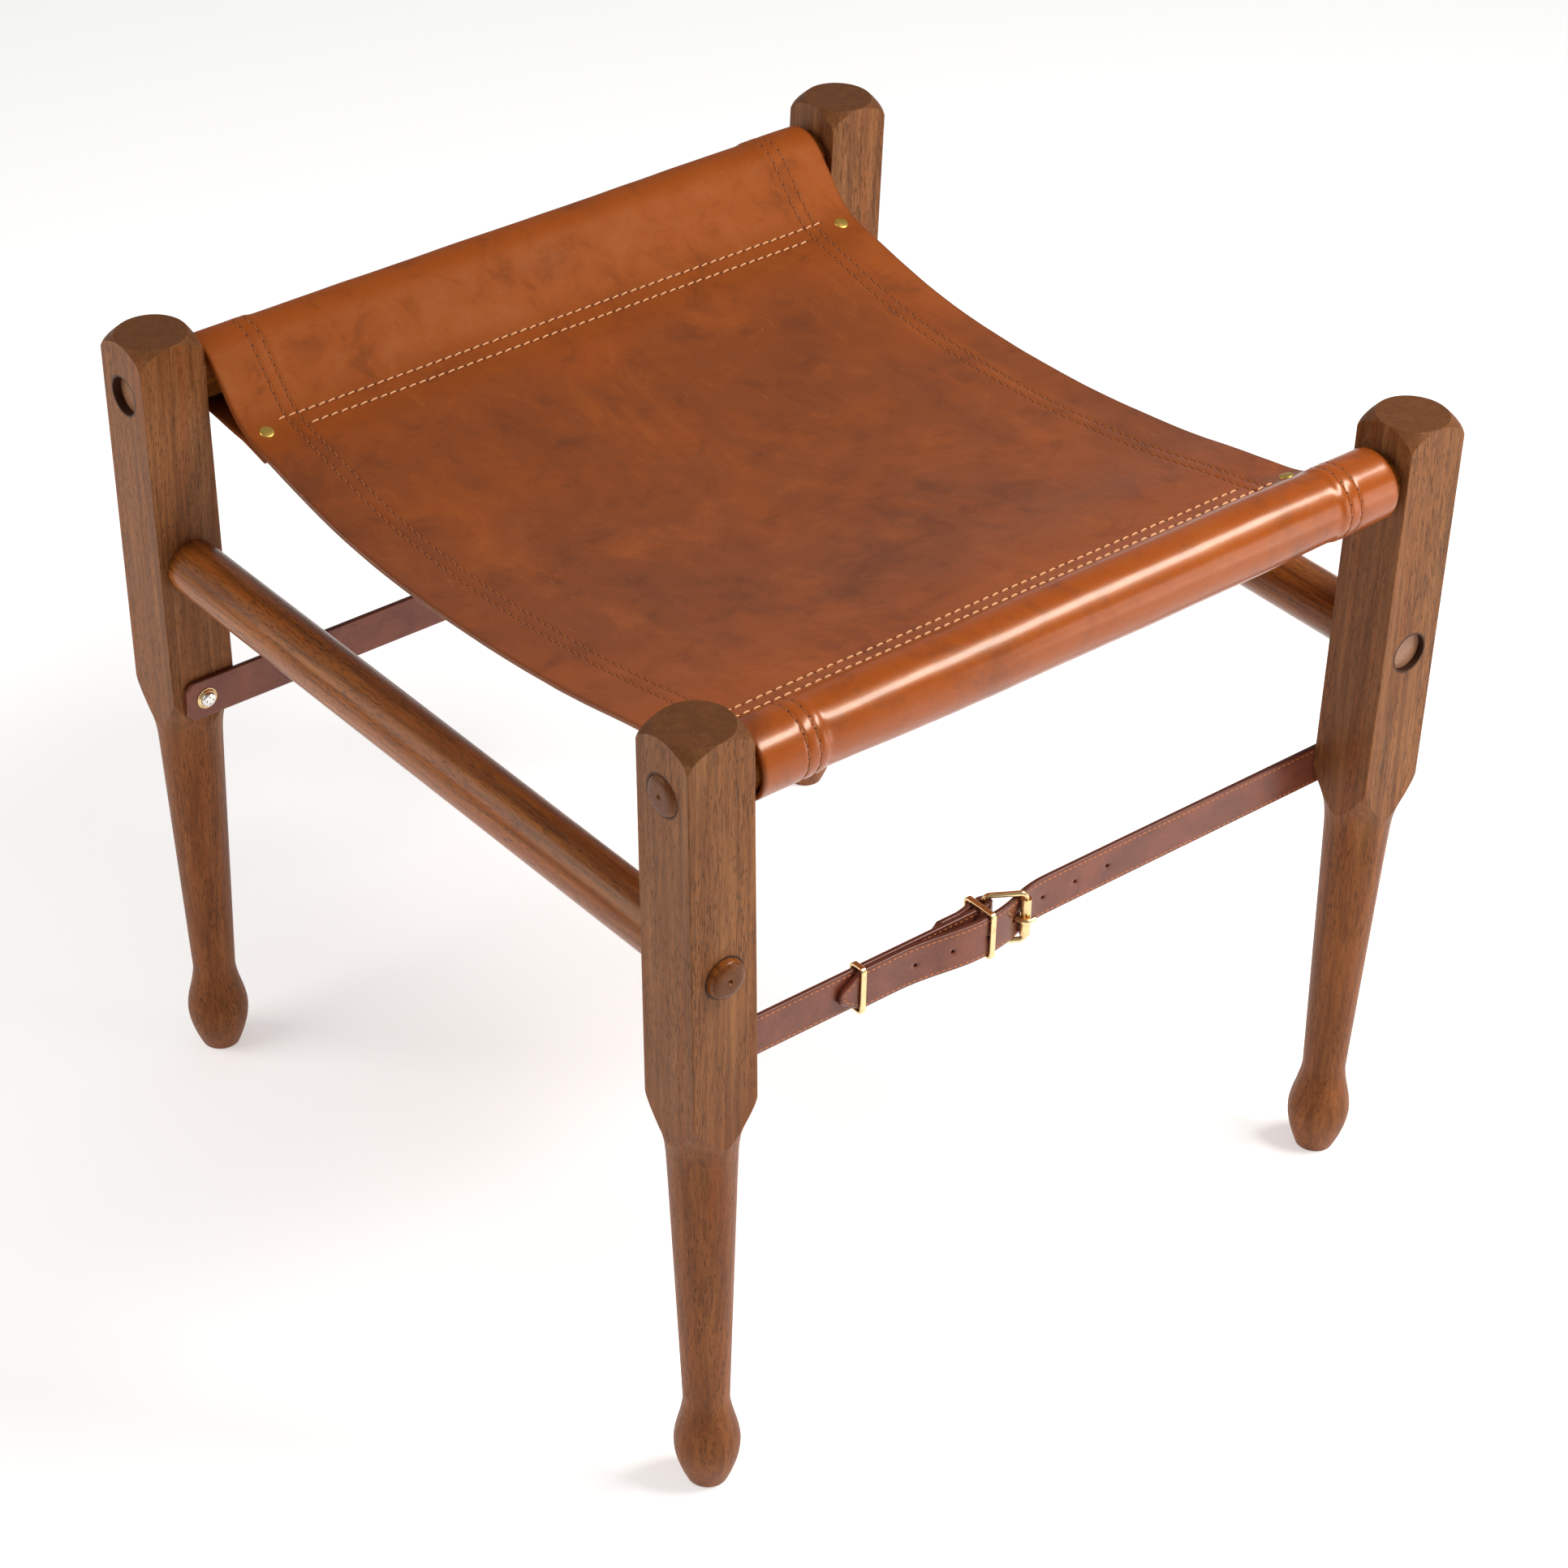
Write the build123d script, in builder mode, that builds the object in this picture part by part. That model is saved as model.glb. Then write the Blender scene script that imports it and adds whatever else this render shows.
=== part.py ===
from build123d import *
import os
from math import asin, atan2, cos, degrees, hypot, pi, radians, sin, sqrt, tan

# Safari stool. Millimetres, +Z up, X along the seat rails, the front at -Y.
# The origin is on the floor, in the middle of the four feet.

# Frame: driving dimensions
leg_spacing_x = 450
leg_spacing_y = 446
leg_width = 38
leg_height = 458.3
seat_rail_below_top = 30.8
dowel_below_top = 130.3
strap_below_top = 212.3
shoulder_below_top = 204.3
toe_in_angle = 1.5

# Turned and square parts of a leg
arris_radius = 0.7
foot_radius = 10.4
foot_low_radius = 14.6
foot_low_height = 11.2
foot_swell_radius = 16.8
foot_swell_height = 26.5
foot_high_radius = 14.3
foot_high_height = 39.2
ankle_radius = 11.8
ankle_height = 53
taper_top_radius = 17
taper_top_fall = 51
cove_low_radius = 19.1
cove_low_fall = 28
cove_mid_radius = 22
cove_mid_fall = 19
cove_high_radius = 25.6
cove_high_fall = 10
top_disc_radius = 18.8
top_round_drop = 11.8

# Seat rails and dowels, with a tapered tenon at each end
rail_radius = 15
tenon_root_radius = 14.6
tenon_end_radius = 10.4
tenon_shoulder_run = 14
socket_clearance = 0.05
rail_proud = 2
rail_recess = 5
dowel_proud = 4.5
dowel_recess = 3.5
dome_height = 3
centre_mark_radius = 1.5
centre_mark_depth = 2.2
end_chamfer = 0.5

# Leather sling
leather_thickness = 3
sling_to_leg = 5
rail_to_leather = 0.3
crotch_inboard = 35
front_crotch_drop = 16
rear_crotch_drop = 18.5
front_seam_fall = 4.8
rear_seam_fall = 5.9
flap_length = 26
seat_drop = 38.4
crease_radius = 7
hem_width = 37

# Where the seat's upper face runs: shares of half the spacing and of the drop
seat_line_shares = [
    (-0.62, 0.56),
    (-0.46, 0.735),
    (-0.30, 0.855),
    (-0.14, 0.94),
    (0.00, 0.985),
    (0.15, 1.0),
    (0.31, 0.973),
    (0.48, 0.865),
    (0.62, 0.70),
]

# Rivets through the sling's seams
rivet_inboard = 47.5
rivet_from_edge = 11
rivet_head_radius = 4
rivet_head_height = 0.9
rivet_burr_radius = 3.4
rivet_burr_height = 0.7
rivet_shank_radius = 1.4
rivet_clearance = 0.1

# Belts
strap_width = 23.5
strap_thickness = 3
strap_end_run = 12.5
strap_corner = 4
screw_offset = 0.6
heel_x = -24
chape_length = 35
chape_corner = 5
fold_run = 17
prong_slot_width = 4
prong_slot_reach = 6.5
layer_gap = 0.3
tail_length = 98
tail_point_length = 13
tail_tip_width = 9
roller_lead_run = 20
roller_pass_angle = 20
bow_height = 5.2
bow_centre_run = 12
bow_fall_run = 50
hole_radius = 1.1
hole_pitch = 22
hole_count = 7
first_hole_run = 177.1
used_hole_index = 3
used_hole_length = 7
used_hole_width = 3.6

# Buckles and keepers
wire_radius = 1.5
buckle_length = 21.5
buckle_inner_height = 25.5
buckle_corner_radius = 3
roller_radius = 2.75
roller_lift = 6.3
roller_end_gap = 0.3
wrap_clearance = 0.2
running_clearance = 0.05
prong_radius = 1.4
prong_ring_wall = 1.9
prong_knee_run = 1.7
prong_knee_rise = 4.1
prong_crown_run = 0.9
prong_bend_radius = 2.6
prong_overhang = 2.8
keeper_length = 3.4
keeper_wall = 1.6
keeper_edge_round = 0.7
keeper_corner_radius = 1
keeper_side_gap = 0.5
keeper_to_buckle = 2.8
outer_keeper_x = -109

# Strap screws and cup washers
screw_head_radius = 4.3
screw_head_height = 2.6
screw_head_edge = 0.8
screw_shank_radius = 1.75
screw_length = 22
screw_point_length = 4
cross_length = 4.6
cross_width = 1.1
cross_depth = 1.5
cup_radius = 6
cup_height = 1.7
cup_floor = 0.8
cup_rim = 0.5
cup_lip = 0.4
cup_gap = 0.15
hole_clearance = 0.15

# A cutter runs this far past what it cuts
overrun = 2

# Places worked out from the sizes above
half_x = leg_spacing_x / 2
half_y = leg_spacing_y / 2
half_leg = leg_width / 2
seat_rail_height = leg_height - seat_rail_below_top
dowel_height = leg_height - dowel_below_top
strap_height = leg_height - strap_below_top
shoulder_height = leg_height - shoulder_below_top
toe_in_slope = tan(radians(toe_in_angle))
tenon_slope = (tenon_root_radius - tenon_end_radius) / leg_width
sling_half_width = half_x - half_leg - sling_to_leg
tube_inner_radius = rail_radius + rail_to_leather
tube_outer_radius = tube_inner_radius + leather_thickness
belt_face = half_y - half_leg
strap_back = belt_face - strap_thickness
strap_low = strap_height - strap_width / 2
heel_depth = strap_back - wire_radius - wrap_clearance
fold_inner_radius = wire_radius + wrap_clearance
fold_outer_radius = fold_inner_radius + strap_thickness
roller_depth = belt_face + roller_lift
roller_x = heel_x + sqrt(buckle_length**2 - (roller_depth - heel_depth) ** 2)
strap_middle = belt_face - strap_thickness / 2
over_strap = belt_face + layer_gap + strap_thickness / 2
bow_x = heel_x - bow_centre_run
tail_tip_x = heel_x - tail_length


def leg_centre_x(height):
    """Distance from the middle of the stool to a leg's leaning axis at one height."""
    return half_x - (seat_rail_height - height) * toe_in_slope


screw_x = leg_centre_x(strap_height) + screw_offset
strap_end_x = leg_centre_x(strap_height) + strap_end_run


def finish(piece, name):
    """Label one finished piece and write its file."""
    piece.part.label = name
    export_step(piece.part, f"parts/{name}.step")


def make_leg(x_side, y_side, name):
    """A leg: square above, turned below, with two sockets and a screw pilot hole."""
    lean = radians(toe_in_angle)
    foot = (x_side * leg_centre_x(0), y_side * half_y, 0)
    along = (x_side * sin(lean), 0, cos(lean))
    across = (cos(lean), 0, -x_side * sin(lean))
    corner_radius = half_leg * sqrt(2)
    socket_reach = leg_width + 2 * overrun
    socket_radius = tenon_root_radius + socket_clearance + overrun * tenon_slope
    rail_mouth = (x_side * (half_x - half_leg), y_side * half_y, seat_rail_height)
    dowel_mouth = (x_side * leg_centre_x(dowel_height), y_side * belt_face, dowel_height)
    sockets = (
        (rail_mouth, (x_side, 0, 0), (0, 1, 0)),
        (dowel_mouth, (0, y_side, 0), (1, 0, 0)),
    )
    with BuildPart() as leg:
        with BuildSketch(Plane(foot, x_dir=across, z_dir=(0, -1, 0))):
            with BuildLine():
                start = Polyline((0, 0), (0, -overrun), (foot_radius, -overrun), (foot_radius, 0))
                swell = Spline(
                    start @ 1,
                    (foot_low_radius, foot_low_height),
                    (foot_swell_radius, foot_swell_height),
                    (foot_high_radius, foot_high_height),
                    (ankle_radius, ankle_height),
                )
                taper = Line(swell @ 1, (taper_top_radius, shoulder_height - taper_top_fall))
                cove = Spline(
                    taper @ 1,
                    (cove_low_radius, shoulder_height - cove_low_fall),
                    (cove_mid_radius, shoulder_height - cove_mid_fall),
                    (cove_high_radius, shoulder_height - cove_high_fall),
                    (corner_radius, shoulder_height),
                    tangents=[taper % 1, (0, 1)],
                )
                arris = Line(cove @ 1, (corner_radius, leg_height - top_round_drop))
                crown = Spline(
                    arris @ 1,
                    (top_disc_radius, leg_height),
                    tangents=[(0, 1), (-1, 1)],
                )
                Polyline(crown @ 1, (0, leg_height), start @ 0)
            make_face()
        revolve(axis=Axis(foot, along))
        with BuildSketch(Plane(foot, x_dir=across, z_dir=along).offset(-overrun)):
            RectangleRounded(leg_width, leg_width, arris_radius)
        extrude(amount=leg_height + 2 * overrun, mode=Mode.INTERSECT)
        split(bisect_by=Plane.XY, keep=Keep.TOP)
        for mouth, outward, level in sockets:
            near = Vector(*mouth) - Vector(*outward) * overrun
            far = near + Vector(*outward) * socket_reach
            with BuildSketch(Plane(near, x_dir=level, z_dir=outward)):
                Circle(socket_radius)
            with BuildSketch(Plane(far, x_dir=level, z_dir=outward)):
                Circle(socket_radius - socket_reach * tenon_slope)
            loft(ruled=True, mode=Mode.SUBTRACT)
        with BuildSketch(Plane((x_side * screw_x, y_side * belt_face, strap_height), z_dir=(0, y_side, 0))):
            Circle(screw_shank_radius + hole_clearance)
        extrude(amount=screw_length - strap_thickness, mode=Mode.SUBTRACT)
    finish(leg, name)


def make_rail(tip, along, spacing, proud, recess, name):
    """A turned rail: a domed end, two tapered tenons and a flat far end."""
    near_root = proud + leg_width
    far_root = proud + spacing
    far_end = far_root + leg_width - recess
    far_radius = tenon_end_radius + recess * tenon_slope
    dome_radius = tenon_end_radius - (proud - dome_height) * tenon_slope
    shoulder_tangents = [(1, tenon_slope), (1, 0)]
    with BuildPart() as rail:
        with BuildSketch(Plane(tip, x_dir=along, z_dir=Vector(*along).cross(Vector(0, 0, 1)))):
            with BuildLine():
                mark = Line((centre_mark_depth, 0), (0, centre_mark_radius))
                dome = Spline(
                    mark @ 1,
                    (dome_height, dome_radius),
                    tangents=[(0, 1), (1, tenon_slope)],
                )
                near_tenon = Line(dome @ 1, (near_root, tenon_root_radius))
                near_shoulder = Spline(
                    near_tenon @ 1,
                    (near_root + tenon_shoulder_run, rail_radius),
                    tangents=shoulder_tangents,
                )
                body = Line(near_shoulder @ 1, (far_root - tenon_shoulder_run, rail_radius))
                far_shoulder = Spline(
                    body @ 1,
                    (far_root, tenon_root_radius),
                    tangents=[(1, 0), (1, -tenon_slope)],
                )
                Polyline(
                    far_shoulder @ 1,
                    (far_end - end_chamfer, far_radius + end_chamfer * tenon_slope),
                    (far_end, far_radius - end_chamfer),
                    (far_end, 0),
                    mark @ 0,
                )
            make_face()
        revolve(axis=Axis(tip, along))
    finish(rail, name)


def seam(y_side):
    """Sizes of one seam: its crotch, its corner above it and the flap's end."""
    drop = front_crotch_drop if y_side < 0 else rear_crotch_drop
    fall = front_seam_fall if y_side < 0 else rear_seam_fall
    crotch = (y_side * (half_y - crotch_inboard), seat_rail_height - drop)
    slope = fall / flap_length
    return crotch, slope


def seam_top(y_side, inboard):
    """Height of the sling's upper face beside a seam, at a distance from the rail."""
    crotch, slope = seam(y_side)
    return crotch[1] + leather_thickness - slope * (inboard - crotch_inboard)


def tube_tangent(y_side, radius, upper):
    """Point where a layer of the sling leaves the round of its tube."""
    crotch = seam(y_side)[0]
    rise = seat_rail_height - crotch[1]
    span = hypot(crotch_inboard, rise)
    spread = asin(tube_inner_radius / span)
    climb = atan2(rise, crotch_inboard)
    turn = climb + spread + pi / 2 if upper else climb - spread - pi / 2
    return (y_side * (half_y + radius * cos(turn)), seat_rail_height + radius * sin(turn))


def tube_arc(y_side, radius):
    """The round of one tube, from the seat's upper face to its lower one."""
    start = tube_tangent(y_side, radius, True)
    middle = (y_side * (half_y + radius), seat_rail_height)
    return ThreePointArc(start, middle, tube_tangent(y_side, radius, False))


def make_sling():
    """The sling: a tube round each seat rail, doubled seams, a sagging seat, side hems."""
    side = Plane((-sling_half_width, 0, 0), x_dir=(0, 1, 0), z_dir=(1, 0, 0))
    line = [(y * half_y, seat_rail_height - z * seat_drop) for y, z in seat_line_shares]
    flap_inboard = crotch_inboard + flap_length
    ends = {}
    corners = {}
    for y_side in (-1, 1):
        ends[y_side] = (y_side * (half_y - flap_inboard), seam_top(y_side, flap_inboard))
        corners[y_side] = (y_side * (half_y - crotch_inboard), seam_top(y_side, crotch_inboard))
    middle = [ends[-1]] + line + [ends[1]]
    tangents = [(1, -seam(-1)[1]), (1, seam(1)[1])]
    lower = [(y, z - leather_thickness) for y, z in middle]
    with BuildPart() as sling:
        with BuildSketch(side) as outline:
            with BuildLine():
                Spline(*middle, tangents=tangents)
                Spline(*lower, tangents=tangents)
                for y_side in (-1, 1):
                    crotch = seam(y_side)[0]
                    corner = corners[y_side]
                    flap = (crotch[0], crotch[1] - leather_thickness)
                    end = ends[y_side]
                    round_tube = tube_arc(y_side, tube_outer_radius)
                    Polyline(end, corner, round_tube @ 0)
                    Polyline(
                        round_tube @ 1,
                        flap,
                        (end[0], end[1] - 2 * leather_thickness),
                        (end[0], end[1] - leather_thickness),
                    )
            make_face()
            for corner in corners.values():
                fillet(outline.vertices().sort_by_distance(corner)[0], crease_radius)
            for y_side in (-1, 1):
                with BuildLine():
                    inner = tube_arc(y_side, tube_inner_radius)
                    Polyline(inner @ 1, seam(y_side)[0], inner @ 0)
                make_face(mode=Mode.SUBTRACT)
        extrude(amount=2 * sling_half_width)
        for x_side in (-1, 1):
            start = sling_half_width - hem_width if x_side > 0 else -sling_half_width
            with BuildSketch(Plane((start, 0, 0), x_dir=(0, 1, 0), z_dir=(1, 0, 0))):
                with BuildLine():
                    upper = Spline(*lower, tangents=tangents)
                    under = Spline(*[(y, z - leather_thickness) for y, z in lower], tangents=tangents)
                    Line(upper @ 0, under @ 0)
                    Line(upper @ 1, under @ 1)
                make_face()
            extrude(amount=hem_width)
        for place in rivet_planes():
            with BuildSketch(place):
                Circle(rivet_shank_radius + rivet_clearance)
            extrude(amount=overrun + 2 * leather_thickness, both=True, mode=Mode.SUBTRACT)
    finish(sling, "leather_sling")


def rivet_planes():
    """A plane on the leather at each rivet, its normal up out of the seam."""
    planes = []
    for y_side in (-1, 1):
        slope = seam(y_side)[1]
        for x_side in (-1, 1):
            origin = (
                x_side * (sling_half_width - rivet_from_edge),
                y_side * (half_y - rivet_inboard),
                seam_top(y_side, rivet_inboard),
            )
            planes.append(Plane(origin, x_dir=(1, 0, 0), z_dir=(0, -y_side * slope, 1)))
    return planes


def make_rivets():
    """Four flat rivets, each with its shank and the burr under the seam."""
    through = -2 * leather_thickness
    with BuildPart() as rivets:
        for place in rivet_planes():
            with BuildSketch(Plane(place.origin, x_dir=place.x_dir, z_dir=-place.y_dir)):
                with BuildLine():
                    crown = Spline(
                        (0, rivet_head_height),
                        (rivet_head_radius, 0),
                        tangents=[(1, 0), (0, -1)],
                    )
                    Polyline(
                        crown @ 1,
                        (rivet_shank_radius, 0),
                        (rivet_shank_radius, through),
                        (rivet_burr_radius, through),
                        (rivet_burr_radius, through - rivet_burr_height),
                        (0, through - rivet_burr_height),
                        crown @ 0,
                    )
                make_face()
            revolve(axis=Axis(place.origin, place.z_dir))
    finish(rivets, "seam_rivets")


def belt_point(y_side, x, depth, height=strap_height):
    """A point of a belt; the rear belt is the front one turned half round."""
    return (-y_side * x, y_side * depth, height)


def plan(y_side, height):
    """Level plane over a belt: x along it, y from the outside inwards."""
    return Plane((0, 0, height), x_dir=(-y_side, 0, 0), z_dir=(0, 0, 1))


def elevation(y_side, depth):
    """Upright plane on a belt, seen from outside the stool."""
    return Plane((0, y_side * depth, 0), x_dir=(-y_side, 0, 0), z_dir=(0, y_side, 0))


def make_buckle_strap(y_side, name):
    """The short belt half: folded round the buckle's heel bar, with a slot for the prong."""
    chape_x = heel_x - chape_length
    meet_x = heel_x - fold_run
    with BuildPart() as strap:
        with BuildSketch(plan(y_side, strap_low)):
            with BuildLine():
                fold = ThreePointArc(
                    (heel_x, -belt_face),
                    (heel_x + fold_outer_radius, -heel_depth),
                    (heel_x, fold_outer_radius - heel_depth),
                )
                Polyline(
                    fold @ 1,
                    (meet_x, strap_thickness - strap_back),
                    (chape_x, strap_thickness - strap_back),
                    (chape_x, -strap_back),
                    (-strap_end_x, -strap_back),
                    (-strap_end_x, -belt_face),
                    fold @ 0,
                )
            make_face()
            with BuildLine():
                eye = ThreePointArc(
                    (heel_x, -strap_back),
                    (heel_x + fold_inner_radius, -heel_depth),
                    (heel_x, fold_inner_radius - heel_depth),
                )
                Polyline(eye @ 1, (meet_x, -strap_back), eye @ 0)
            make_face(mode=Mode.SUBTRACT)
        extrude(amount=strap_width)
        ends = strap.edges().filter_by(Axis.Y)
        outer_end = ends.filter_by_position(Axis.X, *sorted((y_side * strap_end_x, y_side * strap_end_x)))
        chamfer(outer_end, strap_corner)
        chape_end = ends.filter_by_position(Axis.X, *sorted((-y_side * chape_x, -y_side * chape_x)))
        chamfer(chape_end, chape_corner)
        with BuildSketch(elevation(y_side, 0)):
            with Locations((-screw_x, strap_height)):
                Circle(screw_shank_radius + hole_clearance)
            with Locations((heel_x - prong_slot_reach, strap_height)):
                Rectangle(
                    prong_slot_reach + fold_outer_radius + overrun,
                    prong_slot_width,
                    align=(Align.MIN, Align.CENTER),
                )
        extrude(amount=half_y, mode=Mode.SUBTRACT)
    finish(strap, name)


def make_billet_strap(y_side, name):
    """The long belt half: behind the roller, bowed over the other half, to a pointed tail."""
    lean = radians(roller_pass_angle)
    pass_gap = roller_radius + layer_gap + strap_thickness / 2
    passing = (roller_x - pass_gap * sin(lean), pass_gap * cos(lean) - roller_depth)
    rising = (-cos(lean), -sin(lean))
    with BuildPart() as strap:
        with BuildSketch(plan(y_side, strap_low)):
            with BuildLine() as route:
                flat = Line((strap_end_x, -strap_middle), (roller_x + roller_lead_run, -strap_middle))
                under = Spline(flat @ 1, passing, tangents=[(-1, 0), rising])
                bow = Spline(
                    under @ 1,
                    (bow_x, -over_strap - bow_height),
                    (bow_x - bow_fall_run, -over_strap),
                    tangents=[rising, (-1, 0)],
                )
                Line(bow @ 1, (tail_tip_x, -over_strap))
            trace(line_width=strap_thickness)
            middle = Wire(route.edges())
        extrude(amount=strap_width)
        with BuildSketch(elevation(y_side, 0)):
            with BuildLine():
                Polyline(
                    (strap_end_x, strap_low + strap_corner),
                    (strap_end_x, strap_low + strap_width - strap_corner),
                    (strap_end_x - strap_corner, strap_low + strap_width),
                    (tail_tip_x + tail_point_length, strap_low + strap_width),
                    (tail_tip_x, strap_height + tail_tip_width / 2),
                    (tail_tip_x, strap_height - tail_tip_width / 2),
                    (tail_tip_x + tail_point_length, strap_low),
                    (strap_end_x - strap_corner, strap_low),
                    close=True,
                )
            make_face()
            with Locations((screw_x, strap_height)):
                Circle(screw_shank_radius + hole_clearance, mode=Mode.SUBTRACT)
            for index in range(hole_count):
                run = first_hole_run + index * hole_pitch
                hole_x = middle.position_at(run, position_mode=PositionMode.LENGTH).X
                with Locations((hole_x, strap_height)):
                    if index == used_hole_index:
                        SlotOverall(used_hole_length, used_hole_width, mode=Mode.SUBTRACT)
                    else:
                        Circle(hole_radius, mode=Mode.SUBTRACT)
        extrude(amount=half_y + leg_width, mode=Mode.INTERSECT)
    finish(strap, name)


def make_buckle_frame(y_side, name):
    """The buckle's wire frame, leaning out from its heel bar to its toe bar."""
    heel = Vector(*belt_point(y_side, heel_x, heel_depth))
    toe = Vector(*belt_point(y_side, roller_x, roller_depth))
    reach = (toe - heel).normalized()
    half_height = buckle_inner_height / 2 + wire_radius
    with BuildPart() as frame:
        with BuildLine(Plane(heel, x_dir=reach, z_dir=reach.cross(Vector(0, 0, 1)))):
            loop = FilletPolyline(
                (0, -half_height),
                (buckle_length, -half_height),
                (buckle_length, half_height),
                (0, half_height),
                radius=buckle_corner_radius,
                close=True,
            )
        with BuildSketch(Plane(loop @ 0, z_dir=loop % 0)):
            Circle(wire_radius)
        sweep()
    finish(frame, name)


def make_roller(y_side, name):
    """The tube that turns on the buckle's toe bar."""
    length = buckle_inner_height + 2 * (wire_radius - buckle_corner_radius - roller_end_gap)
    with BuildPart() as roller:
        with BuildSketch(Plane(belt_point(y_side, roller_x, roller_depth))):
            Circle(roller_radius)
            Circle(wire_radius + running_clearance, mode=Mode.SUBTRACT)
        extrude(amount=length / 2, both=True)
    finish(roller, name)


def make_prong(y_side, name):
    """The prong: a ring on the heel bar and a pin bent up through the belt's hole, over the roller."""
    ring_inner = wire_radius + running_clearance
    root_x = heel_x + ring_inner + prong_radius
    clear = roller_radius + layer_gap + prong_radius
    beside_x = roller_x - clear
    rest_depth = roller_depth + clear
    with BuildPart() as prong:
        with BuildSketch(Plane(belt_point(y_side, heel_x, heel_depth))):
            Circle(ring_inner + prong_ring_wall)
            Circle(ring_inner, mode=Mode.SUBTRACT)
        extrude(amount=prong_radius, both=True)
        with BuildLine(plan(y_side, strap_height)):
            pin = FilletPolyline(
                (root_x, -heel_depth),
                (beside_x - prong_knee_run, -heel_depth - prong_knee_rise),
                (beside_x + prong_crown_run, -rest_depth),
                (roller_x + prong_overhang, -rest_depth),
                radius=prong_bend_radius,
            )
        with BuildSketch(Plane(pin @ 0, z_dir=pin % 0)):
            Circle(prong_radius)
        sweep()
        tip = prong.edges().filter_by(GeomType.CIRCLE).sort_by(Axis.X)
        fillet(tip[-1] if y_side < 0 else tip[0], prong_radius / 2)
    finish(prong, name)


def make_keeper(y_side, x, inner_depth, billet_depth, name):
    """A half-round wire loop round the layers of a belt."""
    opening = billet_depth + strap_thickness / 2 + layer_gap - inner_depth
    height = strap_width + 2 * keeper_side_gap
    middle = belt_point(y_side, x, inner_depth + opening / 2)
    with BuildPart() as keeper:
        with BuildSketch(Plane(middle, x_dir=(0, 1, 0), z_dir=(1, 0, 0))):
            RectangleRounded(
                opening + 2 * keeper_wall,
                height + 2 * keeper_wall,
                keeper_corner_radius + keeper_wall,
            )
            RectangleRounded(opening, height, keeper_corner_radius, mode=Mode.SUBTRACT)
        extrude(amount=keeper_length / 2, both=True)
        fillet(keeper.faces().filter_by(Axis.X).edges(), keeper_edge_round)
    finish(keeper, name)


def fastener_planes():
    """At each strap screw, the plane of its section and the screw's direction."""
    places = []
    for y_side in (-1, 1):
        for x_side in (-1, 1):
            origin = (x_side * screw_x, y_side * strap_back, strap_height)
            section = Plane(origin, x_dir=(1, 0, 0), z_dir=(0, 0, -y_side))
            places.append((section, (0, -y_side, 0)))
    return places


def make_screws():
    """Four pan-head screws with a cross recess."""
    head_top = cup_floor + screw_head_height
    shank_end = cup_floor - screw_length
    cross_taper = degrees(atan2(cross_width, 3 * cross_depth))
    with BuildPart() as screws:
        for section, inward in fastener_planes():
            with BuildSketch(section):
                with BuildLine():
                    crown = Spline(
                        (0, head_top),
                        (screw_head_radius, cup_floor + screw_head_edge),
                        tangents=[(1, 0), (0, -1)],
                    )
                    Polyline(
                        crown @ 1,
                        (screw_head_radius, cup_floor),
                        (screw_shank_radius, cup_floor),
                        (screw_shank_radius, shank_end + screw_point_length),
                        (0, shank_end),
                        crown @ 0,
                    )
                make_face()
            revolve(axis=Axis(section.origin, inward))
            top = section.origin + Vector(*inward) * head_top
            with BuildSketch(Plane(top, x_dir=(1, 0, 0), z_dir=inward)):
                Rectangle(cross_length, cross_width)
                Rectangle(cross_width, cross_length)
            extrude(amount=-cross_depth, taper=cross_taper, mode=Mode.SUBTRACT)
    finish(screws, "strap_screws")


def make_cup_washers():
    """Four raised cup washers under the screw heads."""
    bore = screw_shank_radius + hole_clearance
    seat = screw_head_radius + cup_gap
    with BuildPart() as cups:
        for section, inward in fastener_planes():
            with BuildSketch(section):
                with BuildLine():
                    flare = Spline(
                        (cup_radius, cup_rim),
                        (seat + cup_lip, cup_height),
                        tangents=[(-1, 0), (-1, 1)],
                    )
                    Polyline(
                        flare @ 1,
                        (seat, cup_height),
                        (seat, cup_floor),
                        (bore, cup_floor),
                        (bore, 0),
                        (cup_radius, 0),
                        flare @ 0,
                    )
                make_face()
            revolve(axis=Axis(section.origin, inward))
    finish(cups, "strap_cup_washers")


os.makedirs("parts", exist_ok=True)

for x_side, x_name in ((-1, "left"), (1, "right")):
    for y_side, y_name in ((-1, "front"), (1, "rear")):
        make_leg(x_side, y_side, f"{y_name}_{x_name}_leg")

rail_reach = half_x + half_leg + rail_proud
dowel_reach = half_y + half_leg + dowel_proud
dowel_x = leg_centre_x(dowel_height)
for side, end, flank in ((-1, "front", "left"), (1, "rear", "right")):
    rail_tip = (side * rail_reach, side * half_y, seat_rail_height)
    make_rail(rail_tip, (-side, 0, 0), leg_spacing_x, rail_proud, rail_recess, f"{end}_seat_rail")
    dowel_tip = (side * dowel_x, side * dowel_reach, dowel_height)
    make_rail(dowel_tip, (0, -side, 0), leg_spacing_y, dowel_proud, dowel_recess, f"{flank}_dowel")

make_sling()
make_rivets()

for y_side, end in ((-1, "front"), (1, "rear")):
    make_buckle_strap(y_side, f"{end}_buckle_strap")
    make_billet_strap(y_side, f"{end}_billet_strap")
    make_buckle_frame(y_side, f"{end}_buckle_frame")
    make_roller(y_side, f"{end}_buckle_roller")
    make_prong(y_side, f"{end}_buckle_prong")
    inner_keeper_x = heel_x - wire_radius - keeper_to_buckle - keeper_length / 2
    behind_fold = heel_depth - fold_outer_radius - layer_gap
    make_keeper(y_side, inner_keeper_x, behind_fold, over_strap + bow_height, f"{end}_inner_keeper")
    make_keeper(y_side, outer_keeper_x, strap_back - layer_gap, over_strap, f"{end}_outer_keeper")

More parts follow.
